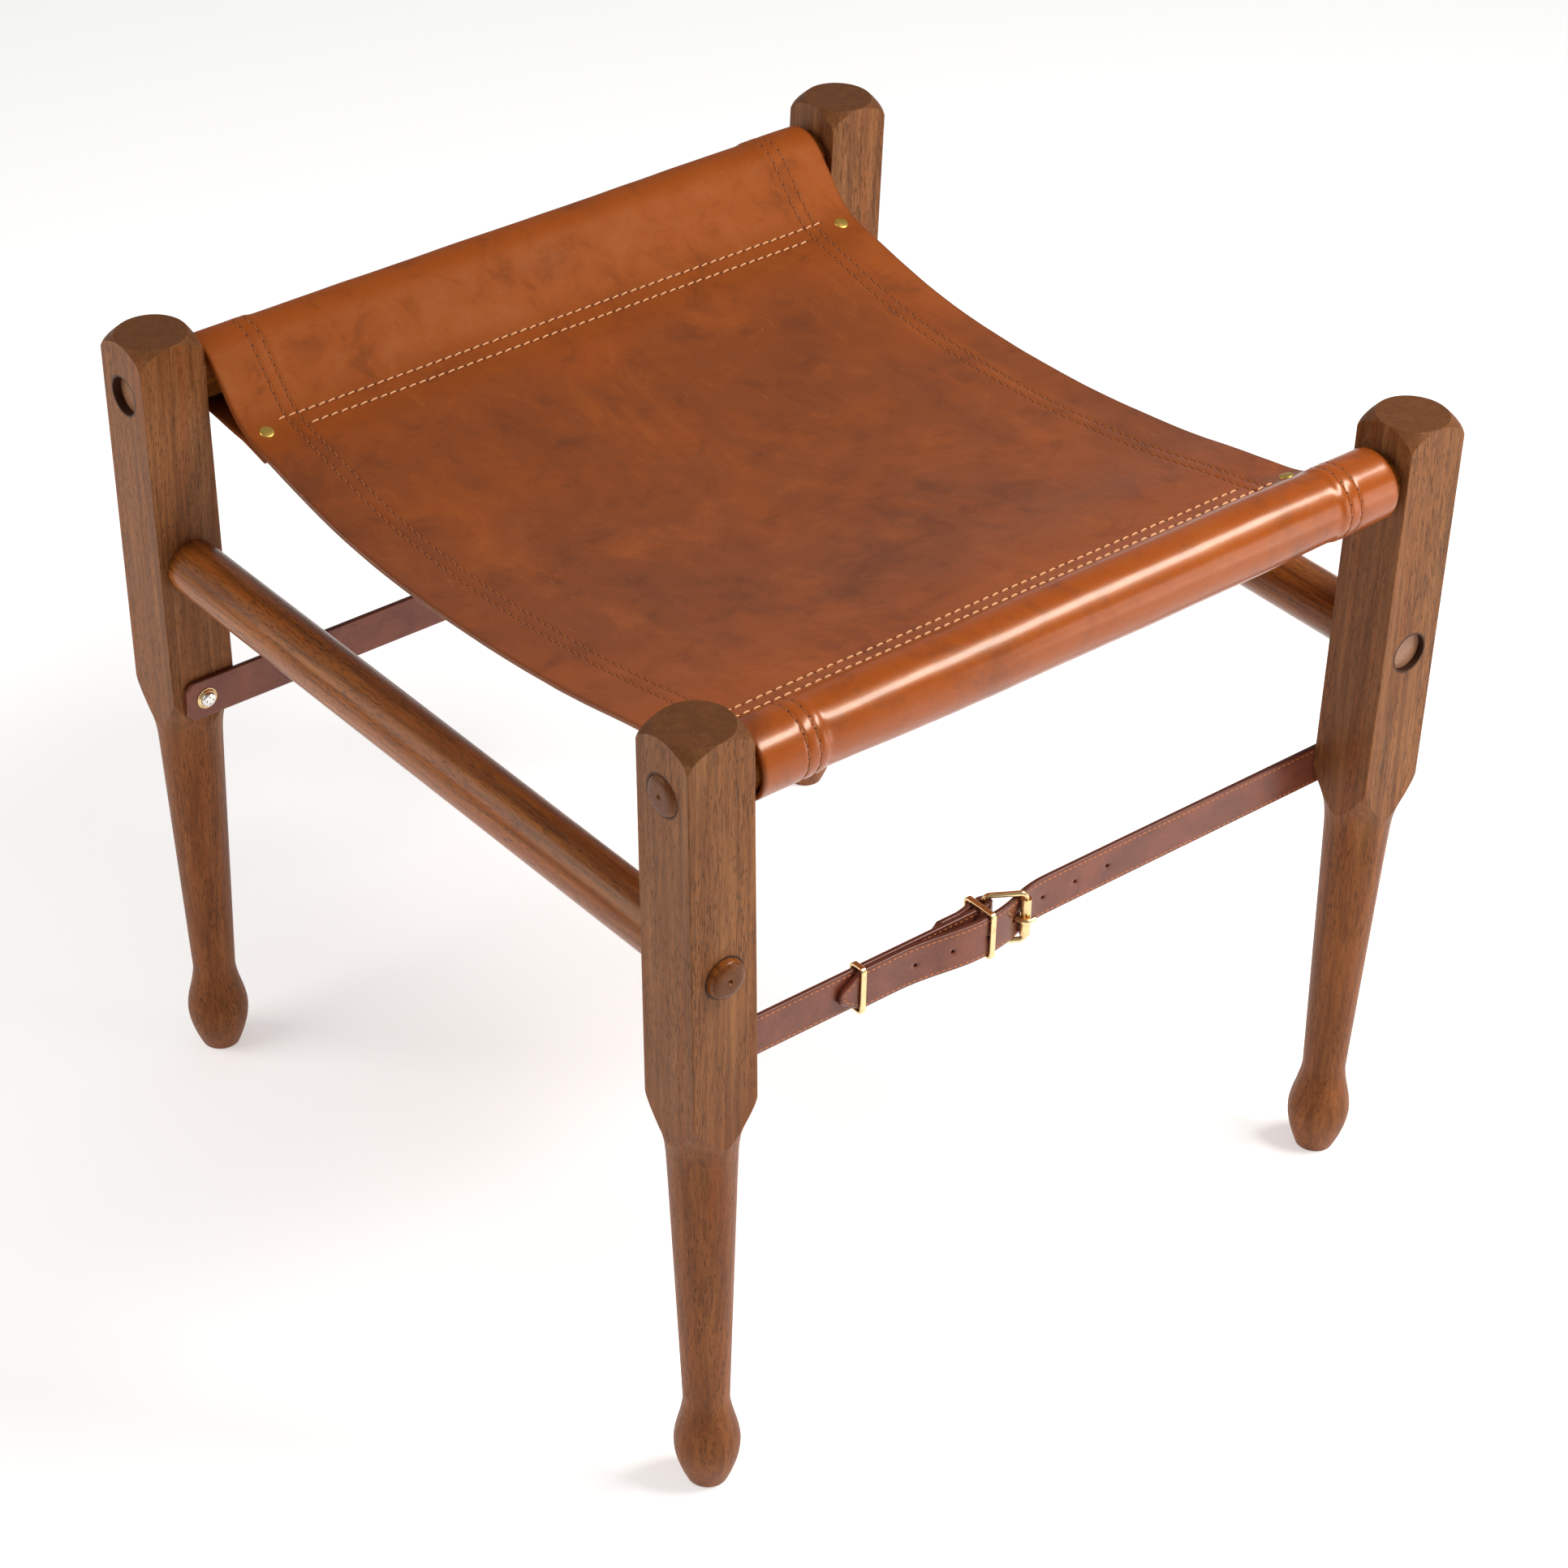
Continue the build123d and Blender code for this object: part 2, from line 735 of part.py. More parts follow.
make_screws()
make_cup_washers()
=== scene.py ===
import random
from math import atan2, cos, hypot, pi, radians, sin, tau

import bpy
import numpy as np
from mathutils import Matrix, Vector, noise
from mathutils.bvhtree import BVHTree
from mathutils.geometry import delaunay_2d_cdt


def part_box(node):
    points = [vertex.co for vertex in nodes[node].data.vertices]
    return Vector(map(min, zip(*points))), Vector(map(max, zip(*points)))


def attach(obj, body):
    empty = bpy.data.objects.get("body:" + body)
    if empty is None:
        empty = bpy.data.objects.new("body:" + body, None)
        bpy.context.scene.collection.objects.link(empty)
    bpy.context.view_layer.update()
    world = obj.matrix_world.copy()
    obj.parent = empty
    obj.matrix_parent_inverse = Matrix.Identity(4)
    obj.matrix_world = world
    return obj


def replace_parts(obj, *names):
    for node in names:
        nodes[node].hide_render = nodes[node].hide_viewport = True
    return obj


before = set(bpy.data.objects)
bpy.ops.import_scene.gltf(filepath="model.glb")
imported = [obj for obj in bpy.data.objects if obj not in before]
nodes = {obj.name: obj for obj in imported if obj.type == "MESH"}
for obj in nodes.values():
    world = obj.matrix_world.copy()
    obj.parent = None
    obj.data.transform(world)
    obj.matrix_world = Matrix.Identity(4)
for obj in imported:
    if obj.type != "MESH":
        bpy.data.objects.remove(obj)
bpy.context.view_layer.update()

# Safari stool: metres, +Z up, X along the seat rails, the front at -Y.
body = "stool_frame"
random.seed(7)


def middle(node):
    """Centre of a node's box."""
    low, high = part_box(node)
    return (low + high) / 2


# Places that the frame gives
rail_height = middle("front_seat_rail").z
half_y = middle("rear_seat_rail").y
sling_half_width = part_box("leather_sling")[1].x
strap_low, strap_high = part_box("front_billet_strap")
strap_height = (strap_low.z + strap_high.z) / 2
strap_width = strap_high.z - strap_low.z

# Legs, and the shadow line round each tenon: inner and outer radius, tone and strength
leg_x = 0.225
half_leg = 0.019
tenon_ring = (0.0112, 0.0119, (0.03, 0.012, 0.008), 0.85)

# Sling
path_step = 0.0004
column_gap = 0.0055
row_gap = 0.0024
tube_radius = 0.0183
tube_inner_radius = 0.0153
tube_inboard = 0.010
seam_thickness = 0.006
leather = 0.0021
hem_leather = 0.0009
hem_width = 0.037
crotch_inboard = 0.041
crotch_drop = {-1: 0.0171, 1: 0.0199}
seam_fall = {-1: 0.0037, 1: 0.0045}
flap_length = 0.020
flap_round = 0.0022
crotch_round = 0.0085
crotch_reach = 0.026
hem_swell = 0.0008
tube_slack = 0.0014
belly = 0.003
belly_half_length = 0.155

# Stitching on the sling
stitch_pitch = 0.0061
stitch_share = 0.82
stitch_slant = 0.00035
thread_radius = 0.00046
groove_depth = 0.00026
groove_half_width = 0.001
seam_rows = {-1: (0.046, 0.055), 1: (0.043, 0.051)}
seam_reaches = (0.180, 0.1655)
hem_rows = (0.168, 0.175)
hem_stitch_start = 0.006
needle_hole_radius = 0.0006
rivet_x = sling_half_width - 0.011
rivet_y = 0.1755

# Belts
strap_thickness = 0.003
strap_edge_round = 0.0009
strap_corner = 0.004
strap_end_x = strap_high.x
outline_step = 0.0025
heel_x = -0.024
belt_face = 0.204
heel_depth = 0.1993
fold_middle_radius = 0.0032
fold_run = 0.017
chape_length = 0.035
chape_corner = 0.005
tail_point = 0.013
tail_tip_width = 0.009
hole_radius = 0.0011
hole_pitch = 0.022
hole_count = 7
first_hole_run = 0.1771
used_hole_index = 3
used_hole_length = 0.007
used_hole_width = 0.0036
prong_slot_width = 0.004
prong_slot_reach = 0.0065
screw_x = middle("strap_screws").x
screw_hole_radius = 0.0019
belt_stitch_inset = 0.0021
belt_stitch_pitch = 0.0034
belt_thread_radius = 0.0003
belt_thread_sunk = 0.00016
belt_stitch_bend = 0.35

# Light
light_tone = (1.0, 0.98, 0.945)

# Camera: measured from the photograph
photo_size = 1932
focal_pixels = 5284.2
sensor_width = 0.036
camera_place = (-1.19554, -1.44940, 1.51351)
camera_right = (0.77636834, -0.63001057, 0.01840904)
camera_up = (0.3479207, 0.4527349, 0.82096425)


def step(value, low, high):
    """A smooth step from 0 at low to 1 at high."""
    t = np.clip((np.asarray(value, float) - low) / (high - low), 0, 1)
    return t * t * (3 - 2 * t)


# Node graphs

class Graph:
    """Short calls that build one material's nodes."""

    def __init__(self, name):
        self.material = bpy.data.materials.new(name)
        self.material.use_nodes = True
        self.tree = self.material.node_tree
        self.shader = self.tree.nodes["Principled BSDF"]
        self.place = self.node("ShaderNodeTexCoord").outputs["Object"]

    def node(self, kind, settings=(), **inputs):
        """A node, with its settings as pairs and its inputs by name, spaces as underscores."""
        made = self.tree.nodes.new(kind)
        for key, value in settings:
            setattr(made, key, value)
        for key, value in inputs.items():
            self.put(made.inputs[key.replace("_", " ")], value)
        return made

    def put(self, socket, value):
        """Link an output to a socket, or set its value."""
        if isinstance(value, bpy.types.NodeSocket):
            self.tree.links.new(value, socket)
        else:
            socket.default_value = value

    def math(self, operation, *values):
        """One arithmetic step."""
        made = self.node("ShaderNodeMath", [("operation", operation)])
        for socket, value in zip(made.inputs, values):
            self.put(socket, value)
        return made.outputs[0]

    def times(self, first, second):
        """A product."""
        return self.math("MULTIPLY", first, second)

    def away(self, value, mark):
        """Distance of a value from a mark."""
        return self.math("ABSOLUTE", self.math("SUBTRACT", value, mark))

    def radius(self, parts, axis):
        """Distance from an axis, given a vector's parts."""
        flat = [parts[k] for k in range(3) if k != axis]
        return self.math("SQRT", self.math("ADD", *[self.times(part, part) for part in flat]))

    def scaled(self, scale, shift=(0, 0, 0), vector=None):
        """The place, moved and then stretched by a factor along each axis."""
        vector = vector or self.place
        for operation, value in (("ADD", shift), ("MULTIPLY", scale)):
            made = self.node("ShaderNodeVectorMath", [("operation", operation)])
            self.put(made.inputs[0], vector)
            self.put(made.inputs[1], value)
            vector = made.outputs[0]
        return vector

    def noise(self, vector, scale, detail=3.0, rough=0.55, distortion=0.0):
        """Noise from about 0 to 1."""
        inputs = {"Vector": vector, "Scale": scale, "Detail": detail, "Roughness": rough}
        return self.node("ShaderNodeTexNoise", Distortion=distortion, **inputs).outputs["Fac"]

    def cells(self, vector, scale):
        """Distance in a pattern of cells."""
        return self.node("ShaderNodeTexVoronoi", Vector=vector, Scale=scale).outputs["Distance"]

    def spread(self, value, low, high, to_low=0.0, to_high=1.0):
        """Map a value from one range to another, with its ends held."""
        made = self.node("ShaderNodeMapRange", [("interpolation_type", "SMOOTHSTEP")])
        for socket, item in zip(made.inputs, (value, low, high, to_low, to_high)):
            self.put(socket, item)
        return made.outputs[0]

    def mix(self, share, first, second, blend="MIX"):
        """Mix two colours."""
        made = self.node("ShaderNodeMix", [("data_type", "RGBA"), ("blend_type", blend)])
        self.put(made.inputs["Factor"], share)
        for socket, value in ((made.inputs[6], first), (made.inputs[7], second)):
            self.put(socket, (*value, 1) if isinstance(value, tuple) else value)
        return made.outputs[2]

    def axes(self, vector=None):
        """The three parts of a vector."""
        return self.node("ShaderNodeSeparateXYZ", Vector=vector or self.place).outputs

    def bump(self, height, distance, strength=1.0, normal=None):
        """A bump from a height."""
        made = self.node("ShaderNodeBump", Height=height, Distance=distance, Strength=strength)
        if normal:
            self.put(made.inputs["Normal"], normal)
        return made.outputs["Normal"]

    def finish(self, **inputs):
        """Set the shader's inputs and give the material."""
        for key, value in inputs.items():
            self.put(self.shader.inputs[key.replace("_", " ")], value)
        return self.material


def wood(name, along, pith, tones, gloss, coat, pore_depth, end_marks=(), proud=0):
    """Open-pored hardwood: growth rings round a pith, long fibres and short dark pores."""
    dark, mid, light = tones
    graph = Graph(name)
    places = []
    for squeeze in (0.045, 0.11, 0.16):
        scale = tuple(squeeze if k == along else 1.0 for k in range(3))
        places.append(graph.scaled(scale, pith))
    fibre_place, pore_place, ring_place = places
    warp = graph.noise(ring_place, 16.0, 2.0)
    bent = graph.math("MULTIPLY_ADD", warp, 0.022, graph.radius(graph.axes(ring_place), along))
    rings = graph.math("FRACT", graph.times(bent, 190.0))
    late = graph.spread(rings, 0.45, 1.0)
    fibre = graph.noise(fibre_place, 620.0, 4.0, 0.6)
    streak = graph.noise(fibre_place, 150.0, 3.0, 0.6)
    ribbon = graph.noise(ring_place, 45.0, 2.0)
    short = graph.spread(graph.noise(pore_place, 1750.0, 1.0, 0.5), 0.55, 0.66)
    long = graph.spread(graph.noise(fibre_place, 1200.0, 2.0, 0.5), 0.57, 0.69)
    pore_band = graph.spread(graph.noise(ring_place, 90.0, 2.0), 0.35, 0.62, 0.45, 1.0)
    pores = graph.math("MAXIMUM", short, graph.times(long, 0.75))
    pores = graph.times(pores, pore_band)
    hue = graph.noise(graph.scaled((1.0, 1.0, 1.0), (2.0, 1.0, 3.0), fibre_place), 95.0, 2.0)
    colour = graph.mix(graph.spread(streak, 0.34, 0.68), dark, light)
    colour = graph.mix(graph.spread(ribbon, 0.36, 0.66, 0.35, 0.85), colour, mid)
    colour = graph.mix(graph.times(late, 0.38), colour, dark)
    colour = graph.mix(graph.spread(fibre, 0.42, 0.72, 0.0, 0.42), colour, light)
    colour = graph.mix(graph.spread(fibre, 0.46, 0.28, 0.0, 0.38), colour, dark)
    redder = tuple(c * k for c, k in zip(mid, (1.12, 0.86, 0.7)))
    greener = tuple(c * k for c, k in zip(mid, (0.82, 0.98, 0.95)))
    colour = graph.mix(graph.spread(hue, 0.56, 0.74, 0.0, 0.55), colour, redder)
    colour = graph.mix(graph.spread(hue, 0.44, 0.26, 0.0, 0.55), colour, greener)
    colour = graph.mix(graph.times(pores, 0.66), colour, tuple(0.3 * c for c in dark))
    facing = graph.axes(graph.node("ShaderNodeNewGeometry").outputs["Normal"])[along]
    if proud:
        outward = graph.times(facing, float(proud))
        dome = graph.spread(outward, 0.25, 0.85)
        colour = graph.mix(graph.times(dome, 0.75), colour, tuple(0.9 * c for c in dark))
        # The sunk tenon end is painted lighter and greyer: painted light, standing in for light the recess
        # keeps out.
        colour = graph.mix(graph.spread(outward, -0.8, -0.95, 0.0, 0.85), colour, (0.34, 0.175, 0.105))
        coat = graph.spread(dome, 0.0, 1.0, coat, 0.0)
        gloss = graph.spread(dome, 0.0, 1.0, gloss, 0.2)
    else:
        lower = graph.spread(graph.axes()[along], 0.27, 0.19, 0.0, 0.5)
        colour = graph.mix(lower, colour, (1.0, 0.72, 0.5), "MULTIPLY")
        end_grain = graph.spread(graph.math("ABSOLUTE", facing), 0.45, 0.9)
        end_dots = graph.spread(graph.noise(graph.place, 2200.0, 2.0), 0.35, 0.65)
        end_tone = graph.mix(end_dots, tuple(0.75 * c for c in dark), tuple(0.62 * c for c in mid))
        colour = graph.mix(graph.times(end_grain, 0.8), colour, end_tone)
    for centre, axis, inner, outer, tone, amount in end_marks:
        parts = graph.axes(graph.scaled((1.0, 1.0, 1.0), tuple(-c for c in centre)))
        near = graph.spread(graph.radius(parts, axis), inner, outer, 1.0, 0.0)
        near = graph.times(near, amount)
        depth = graph.spread(graph.math("ABSOLUTE", parts[axis]), 0.004, 0.006, 1.0, 0.0)
        colour = graph.mix(graph.times(near, depth), colour, tone)
    rough = graph.math("ADD", gloss, graph.spread(fibre, 0.3, 0.7, -0.05, 0.09))
    height = graph.math("MULTIPLY_ADD", pores, -1.0, graph.times(fibre, 0.25))
    normal = graph.bump(height, pore_depth, 0.8)
    return graph.finish(
        Base_Color=colour,
        Roughness=rough,
        Normal=normal,
        Specular_IOR_Level=0.28,
        Specular_Tint=(1.0, 0.66, 0.42, 1.0),
        Coat_Weight=coat,
        Coat_Roughness=0.22,
    )


def sling_leather():
    """Waxed bridle leather: mottled cognac, darker where it sags, with pores and fine scuffs."""
    graph = Graph("sling_leather")
    x, y, z = graph.axes()
    clouds = graph.noise(graph.place, 11.0, 4.0, 0.62, 0.8)
    blots = graph.noise(graph.place, 42.0, 4.0, 0.65, 0.5)
    fine = graph.noise(graph.place, 420.0, 3.0, 0.6)
    sag = graph.spread(z, rail_height - 0.004, rail_height - 0.034)
    # Darker towards the sagging middle of the seat, mottled by the clouds.
    darker_where_low = graph.times(sag, graph.spread(clouds, 0.28, 0.60, 0.55, 1.0))
    amber = (0.34, 0.066, 0.0035)
    chestnut = (0.21, 0.047, 0.0075)
    umber = (0.10, 0.024, 0.007)
    colour = graph.mix(darker_where_low, amber, chestnut)
    broad = graph.noise(graph.scaled((1.0, 0.6, 1.0), (0.9, 0.4, 0.2)), 7.0, 5.0, 0.7, 1.6)
    colour = graph.mix(graph.spread(broad, 0.50, 0.72, 0.0, 0.6), colour, umber)
    colour = graph.mix(graph.spread(broad, 0.48, 0.30, 0.0, 0.55), colour, (0.37, 0.083, 0.008))
    colour = graph.mix(graph.spread(blots, 0.50, 0.76, 0.0, 0.5), colour, umber)
    colour = graph.mix(graph.spread(blots, 0.48, 0.22, 0.0, 0.4), colour, (0.36, 0.085, 0.010))
    colour = graph.mix(graph.spread(fine, 0.45, 0.75, 0.0, 0.12), colour, umber)
    across = graph.math("ABSOLUTE", x)
    # Darker along each hem row: painted shade of its groove and thread.
    for row in hem_rows:
        near = graph.spread(graph.away(across, row), 0.0002, 0.0014, 0.16, 0.0)
        colour = graph.mix(near, colour, umber)
    inboard = graph.math("SUBTRACT", half_y, graph.math("ABSOLUTE", y))
    # Darker along each seam row on the seat: painted shade of its groove and thread.
    for side, rows in seam_rows.items():
        here = graph.spread(graph.times(y, float(side)), 0.0, 0.01)
        on_seat = graph.times(here, graph.spread(across, 0.170, 0.166))
        for row in rows:
            near = graph.spread(graph.away(inboard, row), 0.0003, 0.0017, 0.25, 0.0)
            colour = graph.mix(graph.times(near, on_seat), colour, umber)
    edge = graph.spread(across, sling_half_width - 0.0032, sling_half_width - 0.0004, 0.0, 0.35)
    colour = graph.mix(edge, colour, umber)
    scuff_place = graph.scaled((1.0, 0.18, 1.0), (0.3, 0.1, 0.0))
    scuff = graph.spread(graph.noise(scuff_place, 260.0, 2.0, 0.5, 1.2), 0.66, 0.72)
    scuff = graph.times(scuff, graph.spread(clouds, 0.52, 0.62, 0.0, 0.22))
    colour = graph.mix(scuff, colour, (0.42, 0.15, 0.04))
    grain = graph.cells(graph.place, 1400.0)
    pore_place = graph.scaled((1.0, 1.0, 1.0), (0.7, 0.2, 0.4))
    pores = graph.spread(graph.cells(pore_place, 720.0), 0.02, 0.22, -1.0, 0.0)
    height = graph.math("MULTIPLY_ADD", grain, 0.35, graph.times(pores, 0.5))
    height = graph.math("MULTIPLY_ADD", fine, 0.6, height)
    wave = graph.noise(graph.place, 60.0, 2.0)
    normal = graph.bump(height, 0.00007, 0.55)
    normal = graph.bump(wave, 0.0009, 0.35, normal)
    # Mask of the rear slope and tube: duller gloss there, and painted shade that darkens the colour.
    rear_dull_and_shade = graph.spread(y, 0.145, 0.172)
    colour = graph.mix(graph.times(rear_dull_and_shade, 0.2), colour, umber)
    rough = graph.math("ADD", graph.spread(blots, 0.3, 0.7, 0.27, 0.37), graph.times(sag, 0.05))
    rough = graph.math("MULTIPLY_ADD", rear_dull_and_shade, 0.3, rough)
    return graph.finish(
        Base_Color=colour,
        Roughness=rough,
        Normal=normal,
        Specular_IOR_Level=0.38,
        Specular_Tint=(1.0, 0.62, 0.36, 1.0),
        Coat_Weight=graph.spread(rear_dull_and_shade, 0.0, 1.0, 0.36, 0.0),
        Coat_Roughness=0.18,
    )


def belt_leather():
    """Dark bridle leather with a burnished edge."""
    graph = Graph("belt_leather")
    clouds = graph.noise(graph.place, 38.0, 4.0, 0.6, 0.5)
    fine = graph.noise(graph.place, 520.0, 3.0, 0.6)
    colour = graph.mix(graph.spread(clouds, 0.3, 0.7), (0.13, 0.032, 0.018), (0.22, 0.06, 0.033))
    colour = graph.mix(graph.spread(fine, 0.45, 0.75, 0.0, 0.3), colour, (0.05, 0.014, 0.009))
    upright = graph.away(graph.axes()[2], strap_height)
    rim = graph.spread(upright, strap_width / 2 - 0.0012, strap_width / 2, 0.0, 0.6)
    colour = graph.mix(rim, colour, (0.06, 0.022, 0.018))
    grain = graph.times(graph.cells(graph.place, 1700.0), 0.4)
    normal = graph.bump(graph.math("MULTIPLY_ADD", fine, 0.8, grain), 0.00008, 0.6)
    return graph.finish(
        Base_Color=colour,
        Roughness=graph.spread(clouds, 0.3, 0.7, 0.26, 0.38),
        Normal=normal,
        Specular_Tint=(1.0, 0.66, 0.55, 1.0),
        Coat_Weight=0.15,
        Coat_Roughness=0.22,
    )


def thread(name, tone, shade):
    """Waxed thread: plies twisted together, with painted shade where each stitch dips into the leather."""
    graph = Graph(name)
    dip = graph.node("ShaderNodeAttribute", [("attribute_name", "dip")]).outputs["Fac"]
    fuzz = graph.noise(graph.place, 2600.0, 2.0)
    colour = graph.mix(graph.spread(fuzz, 0.35, 0.7, 0.0, 0.4), tone, shade)
    # Painted shade on each stitch's ends, where they dip into the leather.
    colour = graph.mix(graph.spread(dip, 0.35, 1.0, 0.0, 0.9), colour, tuple(0.25 * c for c in shade))
    normal = graph.bump(fuzz, 0.00012, 0.7)
    return graph.finish(Base_Color=colour, Roughness=0.62, Normal=normal)


def metal(name, tone, tarnish, gloss, scratch_scale):
    """Polished metal with faint tarnish and handling marks."""
    graph = Graph(name)
    clouds = graph.noise(graph.place, 160.0, 3.0, 0.6)
    marks = graph.noise(graph.scaled((1.0, 1.0, 0.12)), scratch_scale, 2.0)
    colour = graph.mix(graph.spread(clouds, 0.42, 0.78, 0.0, 0.5), tone, tarnish)
    rough = graph.spread(clouds, 0.35, 0.7, gloss, gloss + 0.12)
    rough = graph.math("ADD", rough, graph.times(marks, 0.05))
    normal = graph.bump(marks, 0.00003, 0.4)
    return graph.finish(Base_Color=colour, Metallic=1.0, Roughness=rough, Normal=normal)


def needle_hole_shade():
    """Painted shade inside a needle hole."""
    graph = Graph("needle_hole")
    tint = graph.noise(graph.place, 900.0, 2.0)
    colour = graph.mix(tint, (0.035, 0.011, 0.006), (0.06, 0.018, 0.008))
    return graph.finish(Base_Color=colour, Roughness=0.8)


def floor_paper():
    """Plain pale studio paper."""
    graph = Graph("studio_paper")
    tooth = graph.noise(graph.place, 300.0, 2.0)
    colour = graph.mix(tooth, (0.91, 0.91, 0.91), (0.93, 0.93, 0.93))
    return graph.finish(Base_Color=colour, Roughness=0.9, Emission_Color=(1, 1, 1, 1), Emission_Strength=0.45)


# Meshes

def put_in_scene(name, data):
    """A new object in the scene."""
    made = bpy.data.objects.new(name, data)
    bpy.context.scene.collection.objects.link(made)
    return made


def ring(centre, wide, long, radius, sides):
    """Points round a circle, given two directions across it."""
    turns = [tau * k / sides for k in range(sides)]
    return [centre + wide * (radius * cos(turn)) + long * (radius * sin(turn)) for turn in turns]


def band(first, second, sides):
    """Faces between two rings of points, given where each ring starts."""
    turns = [(k, (k + 1) % sides) for k in range(sides)]
    return [(first + k, first + n, second + n, second + k) for k, n in turns]


def new_piece(name, verts, faces, material, smooth_angle=radians(40)):
    """A mesh piece that rides with the stool's frame."""
    mesh = bpy.data.meshes.new(name)
    mesh.from_pydata([tuple(v) for v in verts], [], faces)
    mesh.validate()
    mesh.shade_smooth()
    if smooth_angle:
        mesh.set_sharp_from_angle(angle=smooth_angle)
    mesh.materials.append(material)
    piece = put_in_scene(name, mesh)
    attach(piece, body)
    return piece


def tree_of(node):
    """A search tree of a node's mesh."""
    mesh = nodes[node].data
    return BVHTree.FromPolygons([v.co for v in mesh.vertices], [p.vertices for p in mesh.polygons])


def distances(points):
    """Distance along a path at each of its points."""
    return np.concatenate([[0], np.cumsum(np.linalg.norm(np.diff(points, axis=0), axis=1))])


def resampled(points, run, s):
    """A path's points at new distances."""
    return np.stack([np.interp(s, run, points[:, k]) for k in range(2)], axis=1)


def rounded(points, round_off):
    """A path at even steps, its corners rounded, after the distance of each step."""
    run = distances(points)
    s = np.linspace(0, run[-1], int(run[-1] / path_step))
    line = resampled(points, run, s)
    reach = int(3 * round_off / path_step)
    weights = np.exp(-0.5 * (np.arange(-reach, reach + 1) * path_step / round_off) ** 2)
    weights /= weights.sum()
    lead = line[0] + (line[0] - line[1]) * np.arange(reach, 0, -1)[:, None]
    tail = line[-1] + (line[-1] - line[-2]) * np.arange(1, reach + 1)[:, None]
    padded = np.concatenate([lead, line, tail])
    return s, np.stack([np.convolve(padded[:, k], weights, "valid") for k in range(2)], axis=1)


def headings(line, s):
    """Unit directions along a path."""
    along = np.gradient(line, s, axis=0)
    return along / np.linalg.norm(along, axis=1)[:, None]


